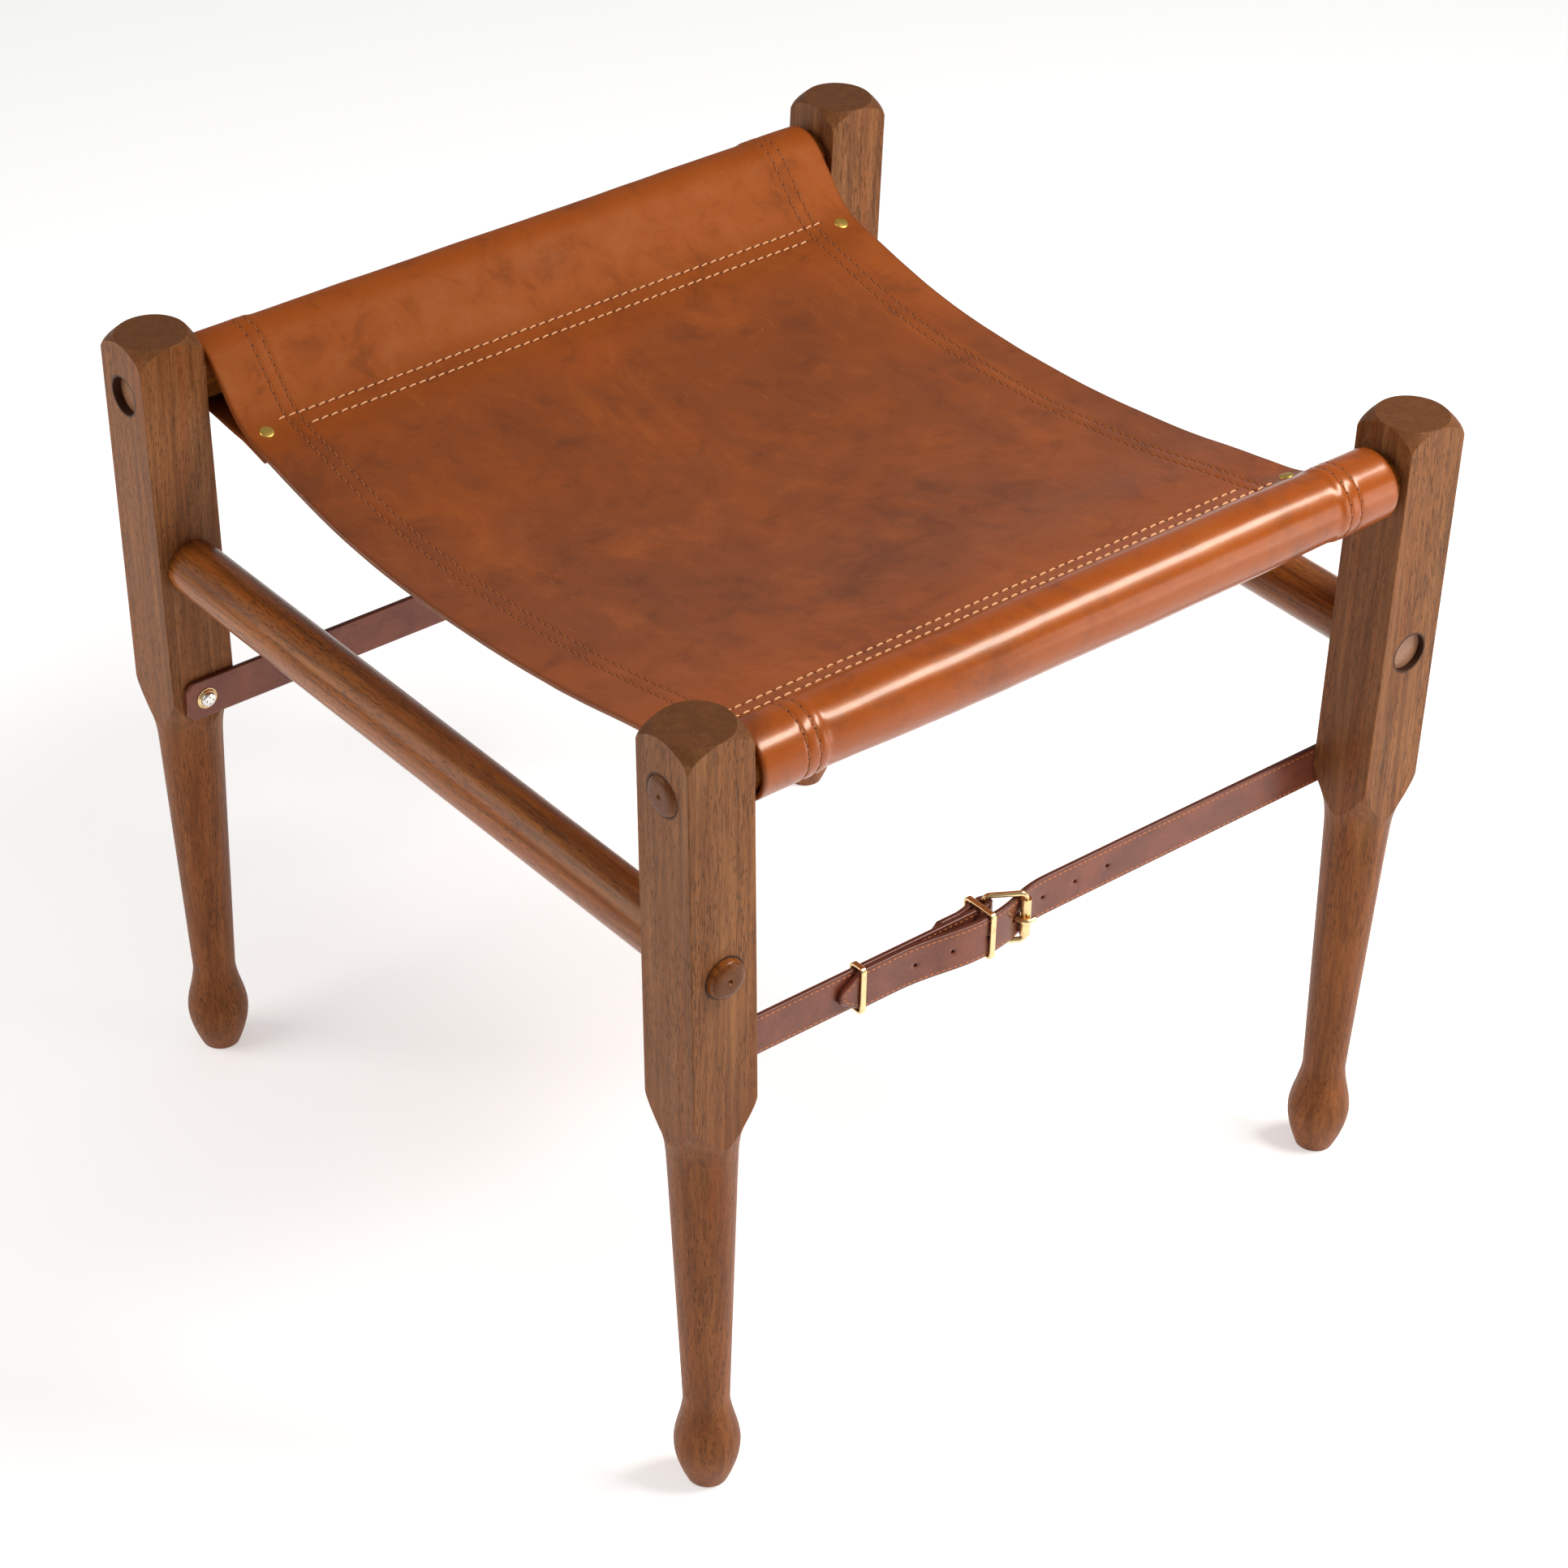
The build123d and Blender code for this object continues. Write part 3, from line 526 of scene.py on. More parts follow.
class SlingSheet:
    """The grain side of the sling: x across it, s along its cut length, from flap to flap."""

    def __init__(self):
        raw = np.array(self.half_path(-1)[::-1] + self.seat_points() + self.half_path(1))
        self.s, self.path = self.evened(raw, flap_round)
        over = self.top_range()
        eased = self.evened(raw, crotch_round)[1][over]
        for side in (-1, 1):
            bend = (side * (half_y - crotch_inboard), self.seam_top(side, crotch_inboard))
            away = np.linalg.norm(self.path[over] - bend, axis=1)
            share = np.exp(-((away / crotch_reach) ** 4))[:, None]
            self.path[over] += share * (eased - self.path[over])
        along = headings(self.path, self.s)
        self.normal = np.stack([-along[:, 1], along[:, 0]], axis=1)
        self.length = self.s[-1]
        over = self.top_range()
        middle_s = np.interp(0.0, self.path[over, 0], self.s[over])
        self.side = np.where(self.s < middle_s, -1, 1)
        self.inboard = half_y - np.abs(self.path[:, 0])
        to_rail = min(middle_s - self.s[over][0], self.s[over][-1] - middle_s)
        self.beneath = np.abs(self.s - middle_s) > to_rail
        self.tube = 1 - step(self.inboard, tube_inboard, crotch_inboard)
        on_flap = step(self.inboard, tube_inboard, crotch_inboard - 0.004)
        on_seat = step(self.inboard, crotch_inboard, crotch_inboard + 0.02)
        self.flap = np.where(self.beneath, on_flap, 0.0)
        self.seat = np.where(self.beneath, 0.0, on_seat)

    def top_range(self):
        """The stretch of the path that lies over the seat."""
        low = int(np.argmin(self.path[:, 0]))
        high = int(np.argmax(self.path[:, 0]))
        return slice(low, high + 1)

    @staticmethod
    def seam_top(side, inboard):
        """Height of the upper face beside a seam."""
        crotch = rail_height - crotch_drop[side] + seam_thickness / 2
        return crotch - seam_fall[side] * (inboard - crotch_inboard) / flap_length

    def half_path(self, side):
        """Points from a seam's inner end, round its tube, to the end of the flap beneath."""
        rise = crotch_drop[side]
        span = hypot(crotch_inboard, rise)
        spread = np.arcsin(tube_inner_radius / span)
        climb = atan2(rise, crotch_inboard)
        turns = np.linspace(climb + spread + pi / 2, -(2 * pi - (climb - spread - pi / 2)) + 2 * pi, 60)
        flap_inboard = crotch_inboard + flap_length
        doubled = 2 * leather
        points = [
            (half_y - flap_inboard, self.seam_top(side, flap_inboard)),
            (half_y - crotch_inboard, self.seam_top(side, crotch_inboard)),
        ]
        points += [(half_y + tube_radius * cos(t), rail_height + tube_radius * sin(t)) for t in turns]
        points += [
            (half_y - crotch_inboard, self.seam_top(side, crotch_inboard) - doubled),
            (half_y - flap_inboard, self.seam_top(side, flap_inboard) - doubled),
        ]
        return [(side * y, z) for y, z in points]

    @staticmethod
    def seat_points():
        """The seat's upper face between its seams, read from the frame."""
        tree = tree_of("leather_sling")
        reach = half_y - crotch_inboard - flap_length
        down = Vector((0, 0, -1))
        points = []
        for y in np.linspace(-reach, reach, 81)[1:-1]:
            hit = tree.ray_cast(Vector((0.01, y, rail_height + tube_radius * 2)), down)[0]
            points.append((y, hit.z))
        return points

    @staticmethod
    def evened(points, round_off):
        """The path with its corners rounded, its steps made even again."""
        line = rounded(points, round_off)[1]
        run = distances(line)
        s = np.linspace(0, run[-1], len(line))
        return s, resampled(line, run, s)

    def at(self, values, s):
        """One of the path's series at places along it."""
        return np.interp(s, self.s, values)

    def up(self, s):
        """The direction out of the grain side at a place along the path."""
        return Vector((0, self.at(self.normal[:, 0], s), self.at(self.normal[:, 1], s)))

    def s_of_seam_row(self, side, inboard):
        """Place along the path of a row on the seat beside a seam."""
        over = ~self.beneath & (self.side == side)
        order = np.argsort(self.inboard[over])
        return float(np.interp(inboard, self.inboard[over][order], self.s[over][order]))

    def swell(self, x, s):
        """How far the grain side stands off the path: hem, slack, grooves and a slight rise between the hem
        rows.
        """
        across = np.abs(x)
        hem = step(across, sling_half_width - hem_width - 0.0035, sling_half_width - hem_width + 0.0015)
        under = np.clip(-self.at(self.normal[:, 1], s), 0, 1)
        tube = self.at(self.tube, s)
        flap = self.at(self.flap, s)
        seat = self.at(self.seat, s)
        out = hem * (tube * hem_swell + flap * 2 * hem_leather)
        loose = 1 - step(across, 0.10, sling_half_width - hem_width)
        out = out + loose * tube * tube_slack * (0.25 + 0.75 * under)
        for row in hem_rows:
            out = out - groove_depth * np.exp(-(((across - row) / groove_half_width) ** 2))
        between = np.exp(-(((across - sum(hem_rows) / 2) / 0.0022) ** 2))
        out = out + 0.00012 * between
        for side, rows in seam_rows.items():
            for row in rows:
                gap = (s - self.s_of_seam_row(side, row)) / groove_half_width
                out = out - groove_depth * np.exp(-(gap**2)) * (1 - step(across, 0.166, 0.17))
        return out

    def waves(self, x, s):
        """Slow unevenness of the hide."""
        flat_x, flat_s = np.broadcast_arrays(x, s)
        rows = []
        for a, b in zip(flat_x.ravel(), flat_s.ravel()):
            slow = noise.noise(Vector((a * 14, b * 14, 0.3)))
            quick = noise.noise(Vector((a * 45, b * 45, 7.1)))
            rows.append(0.0005 * slow + 0.00016 * quick)
        return np.array(rows).reshape(flat_x.shape)

    def sag(self, x, s):
        """Extra fall of the seat's middle."""
        y = self.at(self.path[:, 0], s)
        window = np.cos(np.clip(y / belly_half_length, -1, 1) * pi / 2) ** 2
        return -belly * (1 - (x / sling_half_width) ** 2) * window * self.at(self.seat, s)

    def point(self, x, s, depth=0.0):
        """Points under the grain side by a depth, as an array of rows."""
        x = np.asarray(x, float)
        s = np.asarray(s, float)
        out = self.swell(x, s) + self.waves(x, s) - depth
        y = self.at(self.path[:, 0], s) + out * self.at(self.normal[:, 0], s)
        z = self.at(self.path[:, 1], s) + out * self.at(self.normal[:, 1], s) + self.sag(x, s)
        return np.stack(np.broadcast_arrays(x, y, z), axis=-1)


def with_marks(base, marks, near):
    """A sorted list of places: a base series, closed up round each mark."""
    places = [b for b in base if all(abs(b - m) > near[-1] * 1.15 for m in marks)]
    for mark in marks:
        places += [mark] + [mark + sign * n for n in near for sign in (-1, 1)]
    places = sorted(places)
    kept = [places[0]]
    for place in places[1:]:
        if place - kept[-1] > 0.00018:
            kept.append(place)
    return kept


def make_sling(sheet, material):
    """The sling as one closed mesh, with its side hems turned under."""
    fold = (leather + hem_leather) / 2
    flat_edge = sling_half_width - fold
    hem_edge = sling_half_width - hem_width
    near = (0.0004, 0.0009, 0.0015, 0.0022)
    half = with_marks(np.arange(0, flat_edge, column_gap), list(hem_rows) + [hem_edge], near)
    half = [x for x in half if x < flat_edge - 0.0006] + [flat_edge]
    xs = [-x for x in half[::-1] if x > 0] + half
    marks = [sheet.s_of_seam_row(side, row) for side in seam_rows for row in seam_rows[side]]
    rows = np.arange(row_gap / 2, sheet.length - row_gap / 2, row_gap)
    ss = [0.0] + with_marks(rows, marks, near) + [sheet.length]
    turns = np.linspace(0, pi, 9)[1:-1]
    total = leather + hem_leather

    def under_depth(x):
        lift = float(step(abs(x), hem_edge - 0.0004, hem_edge + 0.0006))
        return leather + lift * hem_leather

    columns = [(x, 0.0) for x in xs]
    columns += [(flat_edge + fold * sin(t), fold - fold * cos(t)) for t in turns]
    columns += [(x, under_depth(x)) for x in xs[::-1]]
    columns += [(-flat_edge - fold * sin(t), fold - fold * cos(t)) for t in turns[::-1]]
    cross, depth = np.array(columns).T
    grain = np.clip(cross, -flat_edge, flat_edge)
    verts = []
    for s in ss:
        shrink = 0.0 if 0 < s < sheet.length else 0.0005
        row = sheet.point(grain, s, np.clip(depth, shrink, total - shrink))
        row[:, 0] = cross
        verts += [tuple(p) for p in row]
    count = len(columns)
    faces = []
    for i in range(len(ss) - 1):
        faces += band(i * count, (i + 1) * count, count)
    top = len(xs)
    last = (len(ss) - 1) * count
    for start, flip in ((0, False), (last, True)):
        for j in range(top - 1):
            below = top + len(turns) + (top - 1 - j)
            quad = (start + j, start + below, start + below - 1, start + j + 1)
            faces.append(quad[::-1] if flip else quad)
        right = [start + top - 1 + k for k in range(len(turns) + 2)]
        left = [start + (count - len(turns) - 1 + k) % count for k in range(len(turns) + 2)]
        for edge in (right, left):
            faces.append(tuple(edge if flip else edge[::-1]))
    piece = new_piece("sling_seat", verts, faces, material, radians(50))
    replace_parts(piece, "leather_sling")
    return piece


def stitch_mesh(name, stitches, radius, material, bend=0.55):
    """Short threads, each a bent tube whose ends dip into the leather."""
    verts = []
    faces = []
    dips = []
    sides = 6
    shape_shares = [
        (0.0, -1.5, 1.0),
        (0.12, -0.2, 0.45),
        (0.3, bend, 0.0),
        (0.7, bend, 0.0),
        (0.88, -0.2, 0.45),
        (1.0, -1.5, 1.0),
    ]
    for start, end, up in stitches:
        start, end, up = Vector(start), Vector(end), Vector(up)
        along = (end - start).normalized()
        wide = along.cross(up).normalized()
        base = len(verts)
        for share, lift, dip in shape_shares:
            centre = start.lerp(end, share) + up * (lift * radius)
            verts += ring(centre, wide, up, radius, sides)
            dips += [dip] * sides
        rings = len(shape_shares)
        for i in range(rings - 1):
            faces += band(base + i * sides, base + (i + 1) * sides, sides)
        faces.append(tuple(base + k for k in range(sides))[::-1])
        faces.append(tuple(base + (rings - 1) * sides + k for k in range(sides)))
    piece = new_piece(name, verts, faces, material, None)
    layer = piece.data.attributes.new("dip", "FLOAT", "POINT")
    layer.data.foreach_set("value", dips)
    return piece


def jitter(size):
    """A small seeded unevenness."""
    return random.uniform(-size, size)


def stitch_row(first, count):
    """Start, end and slant of each stitch along a row."""
    for i in range(count):
        start = first + i * stitch_pitch + jitter(0.0002)
        end = start + stitch_pitch * (stitch_share + jitter(0.03))
        yield start, end, stitch_slant + jitter(0.0001)


def sling_stitches(sheet):
    """Stitches of the sling's seams and of its side hems, with their needle holes."""
    seams = []
    hems = []
    holes = []
    for side, rows in seam_rows.items():
        for row, reach in zip(rows, seam_reaches):
            s = sheet.s_of_seam_row(side, row)
            for x0, x1, slant in stitch_row(-reach, int(2 * reach / stitch_pitch)):
                seams.append((sheet.point(x0, s - slant), sheet.point(x1, s + slant), sheet.up(s)))
                holes.append((sheet.point((x1 + x0 + stitch_pitch) / 2, s), sheet.up(s)))
    count = int((sheet.length - 2 * hem_stitch_start) / stitch_pitch)
    for x in [sign * row for sign in (-1, 1) for row in hem_rows]:
        for s0, s1, slant in stitch_row(hem_stitch_start, count):
            ends = (sheet.point(x - slant, s0), sheet.point(x + slant, s1))
            hems.append((*ends, sheet.up((s0 + s1) / 2)))
            gap = (s1 + s0 + stitch_pitch) / 2
            holes.append((sheet.point(x, gap), sheet.up(gap)))
    return seams, hems, holes


def hole_mesh(name, holes, radius, material):
    """Needle holes: small dished ovals pressed into the leather, their dark a painted shade."""
    verts = []
    faces = []
    sides = 8
    for centre, up in holes:
        centre = Vector(centre)
        wide = Vector((1, 0, 0))
        long = up.cross(wide).normalized()
        base = len(verts)
        for reach, lift in ((1.0, 0.00002), (0.55, 0.00009)):
            verts += ring(centre + up * lift, wide, long, radius * reach, sides)
        verts += [centre + up * 0.0001, centre - up * 0.0005]
        faces += band(base, base + sides, sides)
        for k in range(sides):
            n = (k + 1) % sides
            faces.append((base + sides + k, base + sides + n, base + 2 * sides))
            faces.append((base + n, base + k, base + 2 * sides + 1))
    return new_piece(name, verts, faces, material, None)


def make_rivets(sheet, material):
    """Four turned rivets through the seams' corners, each head seated on the hide."""
    under = -seam_thickness - hem_leather
    profile = [
        (0.0, 0.00088),
        (0.0011, 0.00086),
        (0.0023, 0.00078),
        (0.0031, 0.00064),
        (0.00355, 0.00056),
        (0.00385, 0.00036),
        (0.004, 0.0001),
        (0.00392, -0.0002),
        (0.0014, -0.0003),
        (0.0014, under),
        (0.0033, under),
        (0.0034, under - 0.0004),
        (0.0029, under - 0.0007),
        (0.0, under - 0.0008),
    ]
    sides = 48
    verts = []
    faces = []
    for side in (-1, 1):
        s = sheet.s_of_seam_row(side, half_y - rivet_y)
        up = sheet.up(s)
        wide = Vector((1, 0, 0))
        long = up.cross(wide)
        for x in (-rivet_x, rivet_x):
            centre = Vector(sheet.point(x, s))
            base = len(verts)
            for radius, height in profile[1:-1]:
                verts += ring(centre + up * height, wide, long, radius, sides)
            for row in range(len(profile) - 3):
                faces += band(base + (row + 1) * sides, base + row * sides, sides)
            verts += [centre + up * profile[k][1] for k in (0, -1)]
            top, bottom = len(verts) - 2, len(verts) - 1
            last = top - sides
            for k in range(sides):
                n = (k + 1) % sides
                faces.append((base + k, base + n, top))
                faces.append((last + n, last + k, bottom))
    piece = new_piece("rivets", verts, faces, material, radians(40))
    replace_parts(piece, "seam_rivets")


# Belts

def inset_loop(loop, inset):
    """A closed outline moved inwards; the outline runs counter-clockwise."""
    count = len(loop)
    moved = []
    for i in range(count):
        before, here, after = loop[i - 1], loop[i], loop[(i + 1) % count]
        first = (here - before).normalized()
        second = (after - here).normalized()
        bisector = Vector((-first.y - second.y, first.x + second.x))
        scale = 2 / max(bisector.length_squared, 0.5)
        moved.append(here + bisector * (inset * scale))
    return moved


def divided(corners, gap):
    """A closed outline with points at most a gap apart."""
    points = []
    for i, here in enumerate(corners):
        after = corners[(i + 1) % len(corners)]
        parts = max(1, int((after - here).length / gap + 0.999))
        points += [here.lerp(after, k / parts) for k in range(parts)]
    return points


def inside(point, loop):
    """Whether a point is inside a closed outline."""
    found = False
    for i in range(len(loop)):
        a, b = loop[i - 1], loop[i]
        if (a.y > point.y) != (b.y > point.y):
            if point.x < (b.x - a.x) * (point.y - a.y) / (b.y - a.y) + a.x:
                found = not found
    return found


class Route:
    """A belt half's centre line in plan: points by distance, with outward normals."""

    def __init__(self, points, round_off=0.0012, mirrored=False):
        self.s, self.line = rounded(np.array(points), round_off)
        along = headings(self.line, self.s)
        self.normal = np.stack([along[:, 1], -along[:, 0]], axis=1)
        self.length = self.s[-1]
        self.rise = -1 if mirrored else 1
        if mirrored:
            self.line[:, 0] *= -1
            self.normal[:, 0] *= -1

    def s_at_x(self, x, rising):
        """The first distance at which the line passes a place along the belt."""
        series = self.line[:, 0] if rising else -self.line[:, 0]
        target = x if rising else -x
        return float(self.s[int(np.argmax(series >= target))])

    def at(self, s):
        """Place and outward direction in plan at a distance along."""
        return [np.interp(s, self.s, rows[:, k]) for rows in (self.line, self.normal) for k in range(2)]

    def point(self, s, up, out, y_side):
        """A point of the belt: distance along, height off its middle, height off its centre line."""
        x, y, nx, ny = self.at(s)
        turn = -y_side
        return Vector((turn * (x + nx * out), turn * (y + ny * out), strap_height + self.rise * up))

    def out(self, s, y_side):
        """The outward direction at a distance along."""
        nx, ny = self.at(s)[2:]
        return Vector((-y_side * nx, -y_side * ny, 0)).normalized()


def strap_mesh(name, route, outline, holes, y_side, material):
    """A belt half: its flat outline bent along its route, with rounded edges and cut holes."""
    half_thick = strap_thickness / 2
    rim = []
    for turn in (0.0, pi / 6, pi / 3, pi / 2):
        rim.append((strap_edge_round * (1 - sin(turn)), half_thick - strap_edge_round * (1 - cos(turn))))
    rings = [(inset_loop(outline, inset), out) for inset, out in rim]
    rings += [(loop, -out) for loop, out in rings[::-1]]
    hole_rim = 0.00035
    hole_rings = []
    for hole in holes:
        levels = [(inset_loop(hole, -hole_rim), half_thick), (hole, half_thick - hole_rim)]
        hole_rings.append(levels + [(loop, -out) for loop, out in levels[::-1]])
    flat = rings[0][0]
    low, high = [Vector((end(p.x for p in flat), end(p.y for p in flat))) for end in (min, max)]
    pitch = 0.0026
    inner = []
    clear = inset_loop(outline, strap_edge_round + 0.0012)
    avoid = [inset_loop(hole, -hole_rim - 0.0008) for hole in holes]
    for i in range(int((high.x - low.x) / pitch) + 1):
        for j in range(int((high.y - low.y) / pitch) + 1):
            p = Vector((low.x + i * pitch, low.y + j * pitch + 0.0007))
            if inside(p, clear) and not any(inside(p, loop) for loop in avoid):
                inner.append(p)
    loops = [flat] + [levels[0][0] for levels in hole_rings]
    points = [p for loop in loops for p in loop] + inner
    edges = []
    base = 0
    for loop in loops:
        edges += [(base + k, base + (k + 1) % len(loop)) for k in range(len(loop))]
        base += len(loop)
    made = delaunay_2d_cdt(points, edges, [], 0, 1e-7)
    flat_points, triangles, origin = made[0], made[2], made[3]
    spot = {source: index for index, sources in enumerate(origin) for source in sources}
    kept = []
    for tri in triangles:
        centre = sum((flat_points[k] for k in tri), Vector((0, 0))) / len(tri)
        if inside(centre, flat) and not any(inside(centre, loop) for loop in loops[1:]):
            kept.append(tuple(tri))
    verts = []
    faces = []

    def lay(loop_points, out):
        start = len(verts)
        verts.extend(route.point(p.x, p.y, out, y_side) for p in loop_points)
        return start

    top = lay(flat_points, half_thick)
    bottom = lay(flat_points, -half_thick)
    faces += [tuple(top + k for k in tri) for tri in kept]
    faces += [tuple(bottom + k for k in tri[::-1]) for tri in kept]

    def skirt(levels, first_ids, last_ids, inward):
        ids = [first_ids]
        for loop, out in levels[1:-1]:
            start = lay(loop, out)
            ids.append([start + k for k in range(len(loop))])
        ids.append(last_ids)
        for above, below in zip(ids, ids[1:]):
            count = len(above)
            for k in range(count):
                n = (k + 1) % count
                quad = (above[k], below[k], below[n], above[n])
                faces.append(quad[::-1] if inward else quad)

    base = 0
    for levels, inward in [(rings, False)] + [(levels, True) for levels in hole_rings]:
        count = len(levels[0][0])
        ids = [spot[base + k] for k in range(count)]
        skirt(levels, [top + k for k in ids], [bottom + k for k in ids], inward)
        base += count
    return new_piece(name, verts, faces, material, radians(60))


def round_hole(s, radius, sides=16):
    """A round hole's outline, counter-clockwise."""
    turns = [tau * k / sides for k in range(sides)]
    return [Vector((s + radius * cos(turn), radius * sin(turn))) for turn in turns]


def long_hole(start, end, radius, sides=8):
    """A slot's outline with round ends, counter-clockwise."""
    points = []
    for centre, first in ((end, -pi / 2), (start, pi / 2)):
        for k in range(sides + 1):
            turn = first + pi * k / sides
            points.append(Vector((centre + radius * cos(turn), radius * sin(turn))))
    return points


def belt_stitches(route, outline, y_side, stitched, lift):
    """Stitches along a belt half's edge, over the stitched part of its length."""
    loop = inset_loop(outline, belt_stitch_inset)
    loop.append(loop[0])
    run = [0.0]
    for a, b in zip(loop, loop[1:]):
        run.append(run[-1] + (b - a).length)
    xs = [p.x for p in loop]
    ys = [p.y for p in loop]
    stitches = []
    for i in range(int(run[-1] / belt_stitch_pitch)):
        ends = []
        for share in (0.0, 0.74):
            place = (i + share) * belt_stitch_pitch
            ends.append((float(np.interp(place, run, xs)), float(np.interp(place, run, ys))))
        if all(0 < s < stitched for s, up in ends):
            first, last = [route.point(s, up, lift, y_side) for s, up in ends]
            stitches.append((first, last, route.out(ends[0][0], y_side)))
    return stitches


def strap_route(node, xs, y_side):
    """The centre line of a belt half, from the outer face that its node has in the frame."""
    tree = tree_of(node)
    away = 0.3
    points = []
    for x in xs:
        start = Vector((-y_side * x, y_side * away, strap_height + strap_width / 3))
        hit = tree.ray_cast(start, Vector((0, -y_side, 0)))[0]
        if hit:
            points.append((x, strap_thickness / 2 - abs(hit.y)))
    return points


def strap_outline(tip):
    """A belt half's flat outline: clipped corners at the screw, and a tip given by its lower half."""
    half = strap_width / 2
    start = [(strap_corner, -half)]
    upper = [(x, -y) for x, y in tip[::-1]]
    end = [(strap_corner, half), (0, half - strap_corner), (0, strap_corner - half)]
    return divided([Vector(corner) for corner in start + tip + upper + end], outline_step)


def make_half(name, node, route, outline, holes, stitched, y_side, materials):
    """One belt half in place of its solid, with its stitches."""
    leather_material, thread_material = materials
    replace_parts(strap_mesh(name, route, outline, holes, y_side, leather_material), node)
    stitches = belt_stitches(route, outline, y_side, stitched, strap_thickness / 2 - belt_thread_sunk)
    name = f"{name}_stitching"
    stitch_mesh(name, stitches, belt_thread_radius, thread_material, belt_stitch_bend)


def make_billet(y_side, end, materials):
    """The long belt half with the holes and the pointed tail."""
    node = f"{end}_billet_strap"
    low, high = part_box(node)
    tail_x = -high.x if y_side > 0 else low.x
    xs = np.linspace(strap_end_x - 0.0002, tail_x + 0.0002, 180)
    points = strap_route(node, xs, y_side)
    points[0] = (strap_end_x, points[0][1])
    points[-1] = (tail_x, points[-1][1])
    route = Route([(-x, y) for x, y in points], mirrored=True)
    half = strap_width / 2
    length = route.length
    tip = [
        (length - tail_point, -half),
        (length - 0.002, -tail_tip_width / 2),
        (length, -tail_tip_width / 3),
    ]
    holes = [round_hole(route.s_at_x(screw_x, False), screw_hole_radius)]
    for index in range(hole_count):
        s = first_hole_run + index * hole_pitch
        if index == used_hole_index:
            reach = (used_hole_length - used_hole_width) / 2
            holes.append(long_hole(s - reach, s + reach, used_hole_width / 2))
        else:
            holes.append(round_hole(s, hole_radius))
    make_half(f"{end}_billet", node, route, strap_outline(tip), holes, length, y_side, materials)


def make_buckle_half(y_side, end, materials):
    """The short belt half, folded round the buckle's heel bar."""
    outer = strap_thickness / 2 - belt_face
    turns = np.linspace(-pi / 2, pi / 2, 24)
    fold = fold_middle_radius
    points = [(-strap_end_x, outer)]
    points += [(heel_x + fold * cos(t), fold * sin(t) - heel_depth) for t in turns]
    meet = 1.5 * strap_thickness - belt_face + 0.0001
    points += [(heel_x - fold_run, meet), (heel_x - chape_length, meet)]
    route = Route(points, 0.0008)
    half = strap_width / 2
    length = route.length
    tip = [(length - chape_corner, -half), (length, chape_corner - half)]
    slot_start = route.s_at_x(heel_x - prong_slot_reach, True)
    turn_run = pi * fold + 2 * prong_slot_reach
    slot_half = prong_slot_width / 2
    slot = long_hole(slot_start + slot_half, slot_start + turn_run - slot_half, slot_half)
    screw = round_hole(route.s_at_x(-screw_x, True), screw_hole_radius)
    stitched = route.s_at_x(heel_x - 0.001, True)
    name, node = f"{end}_buckle_half", f"{end}_buckle_strap"
    make_half(name, node, route, strap_outline(tip), [screw, slot], stitched, y_side, materials)


# Scene

def dress(names, material):
    """Give CAD nodes a material."""
    for name in names:
        slots = nodes[name].data.materials
        slots.clear()
        slots.append(material)


def area_light(name, place, target, size, power):
    """A soft rectangular light aimed at a point."""
    data = bpy.data.lights.new(name, "AREA")
    data.shape = "RECTANGLE"
    data.size, data.size_y = size
    data.energy = power
    data.color = light_tone
    aim = (Vector(target) - Vector(place)).to_track_quat("-Z", "Y")
    put_in_scene(name, data).matrix_world = Matrix.Translation(place) @ aim.to_matrix().to_4x4()


def make_stage():
    """Floor, lights, world and camera."""
    verts = [(x * 6, y * 6, -0.0004) for x, y in ((-1, -1), (1, -1), (1, 1), (-1, 1))]
    mesh = bpy.data.meshes.new("floor")
    mesh.from_pydata(verts, [], [(0, 1, 2, 3)])
    mesh.materials.append(floor_paper())
    put_in_scene("floor", mesh)
    world = bpy.data.worlds.new("studio")
    world.use_nodes = True
    background = world.node_tree.nodes["Background"].inputs
    background["Color"].default_value = (1, 1, 1, 1)
    background["Strength"].default_value = 0.27
    scene = bpy.context.scene
    scene.world = world
    seat = (0, 0, 0.3)
    area_light("key_softbox", (0.79, -0.82, 1.57), seat, (0.95, 0.34), 27)
    area_light("left_fill", (-1.15, 0.6, 0.95), seat, (0.9, 0.9), 7.5)
    area_light("front_fill", (1.05, -1.35, 0.45), (0.2, -0.2, 0.3), (0.5, 0.8), 4.5)
    data = bpy.data.cameras.new("camera")
    data.sensor_width = sensor_width * 1000
    data.lens = focal_pixels / photo_size * sensor_width * 1000
    camera = put_in_scene("camera", data)
    right, up = Vector(camera_right), Vector(camera_up)
    turn = Matrix((right, up, right.cross(up))).transposed()
    camera.matrix_world = Matrix.Translation(camera_place) @ turn.to_4x4()
    scene.camera = camera
    scene.view_settings.view_transform = "Standard"


def ring_marks(x_side, y_side):
    """Dark shadow lines round the two tenons that come through a leg."""
    dowel = middle("left_dowel")
    rail_face = (x_side * (leg_x + half_leg), y_side * half_y, rail_height)
    dowel_face = (x_side * abs(dowel.x), y_side * (half_y + half_leg), dowel.z)
    return [(rail_face, 0, *tenon_ring), (dowel_face, 1, *tenon_ring)]


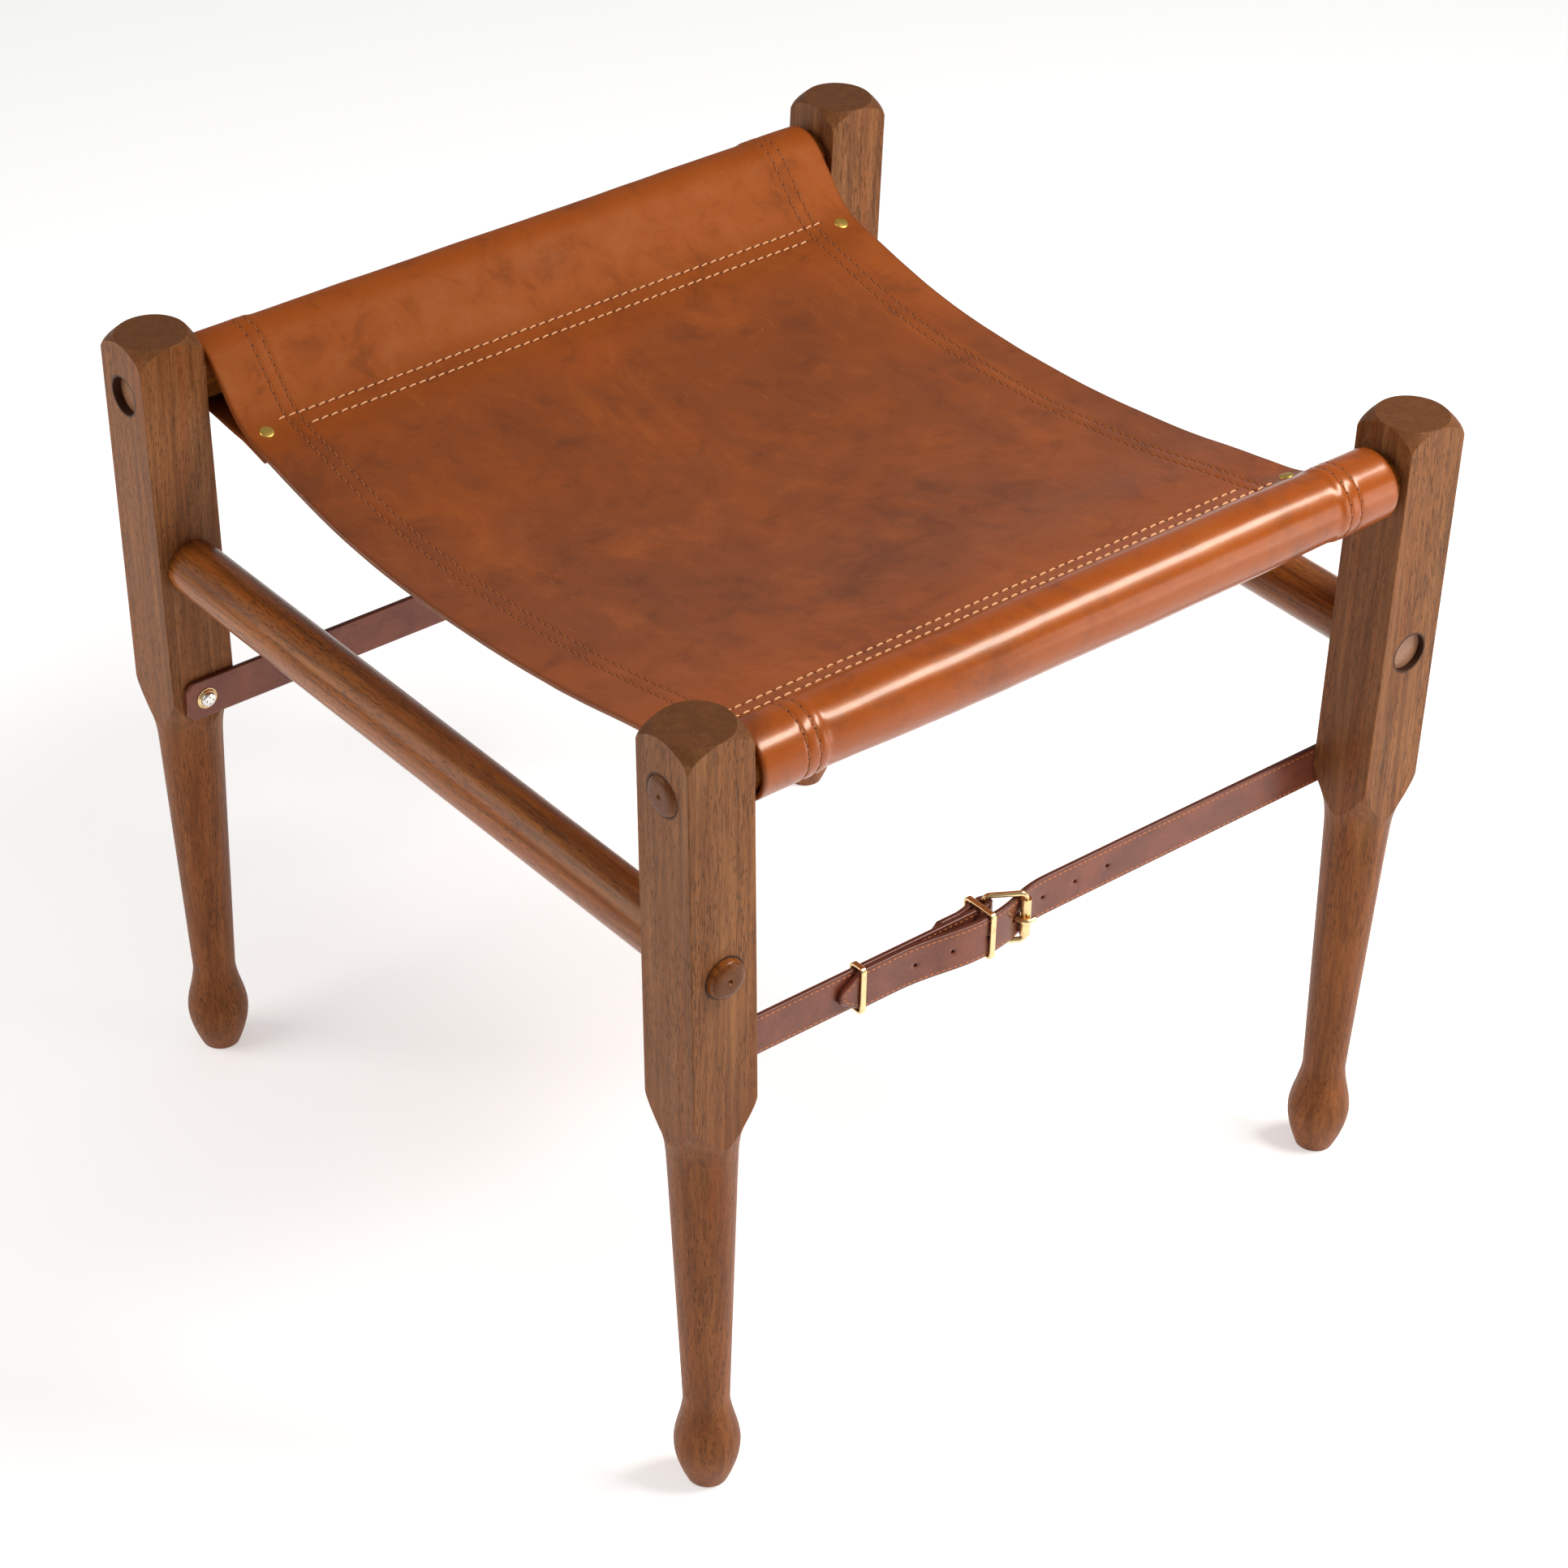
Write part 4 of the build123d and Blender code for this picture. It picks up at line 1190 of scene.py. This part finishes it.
def main():
    make_stage()
    leg_tones = ((0.10, 0.031, 0.010), (0.235, 0.080, 0.023), (0.34, 0.142, 0.053))
    legs = {
        "front_left_leg": ((0.31, 0.30, 0.2), -1, -1),
        "front_right_leg": ((-0.16, 0.28, 1.3), 1, -1),
        "rear_left_leg": ((0.29, -0.14, 2.1), -1, 1),
        "rear_right_leg": ((-0.30, -0.31, 3.4), 1, 1),
    }
    for name, (pith, x_side, y_side) in legs.items():
        material = wood(name + "_wood", 2, pith, leg_tones, 0.46, 0.0, 0.00018, ring_marks(x_side, y_side))
        dress([name], material)
    rail_tones = ((0.095, 0.025, 0.006), (0.31, 0.085, 0.013), (0.44, 0.145, 0.028))
    rails = {
        "left_dowel": (1, (0.235, 0.2, -0.318), -1),
        "right_dowel": (1, (-0.205, 0.9, -0.34), 1),
        "front_seat_rail": (0, (0.4, 0.205, -0.43), -1),
        "rear_seat_rail": (0, (0.8, -0.235, -0.42), 1),
    }
    for name, (along, pith, proud) in rails.items():
        dress([name], wood(name + "_wood", along, pith, rail_tones, 0.3, 0.3, 0.0001, proud=proud))
    brass = metal("polished_brass", (0.86, 0.64, 0.34), (0.62, 0.40, 0.17), 0.17, 1500.0)
    steel = metal("plated_steel", (0.78, 0.77, 0.74), (0.55, 0.52, 0.47), 0.2, 1800.0)
    dress(["strap_screws"], steel)
    hardware = ["strap_cup_washers"]
    for kind in ("buckle_frame", "buckle_roller", "buckle_prong", "inner_keeper", "outer_keeper"):
        hardware += [f"front_{kind}", f"rear_{kind}"]
    dress(hardware, brass)
    leather_material = sling_leather()
    sheet = SlingSheet()
    sling = make_sling(sheet, leather_material)
    seams, hems, holes = sling_stitches(sheet)
    make_rivets(sheet, metal("yellow_brass", (0.80, 0.52, 0.12), (0.58, 0.34, 0.07), 0.3, 1500.0))
    cream = thread("cream_thread", (0.86, 0.46, 0.22), (0.62, 0.28, 0.12))
    tan = thread("tan_thread", (0.40, 0.115, 0.02), (0.22, 0.055, 0.01))
    orange = thread("orange_thread", (0.72, 0.23, 0.055), (0.42, 0.12, 0.03))
    seam_thread = stitch_mesh("seam_stitching", seams, thread_radius, cream)
    hem_thread = stitch_mesh("hem_stitching", hems, thread_radius * 0.75, tan)
    punched = hole_mesh("needle_holes", holes, needle_hole_radius, needle_hole_shade())
    belt_materials = (belt_leather(), orange)
    for y_side, end in ((-1, "front"), (1, "rear")):
        make_billet(y_side, end, belt_materials)
        make_buckle_half(y_side, end, belt_materials)


main()
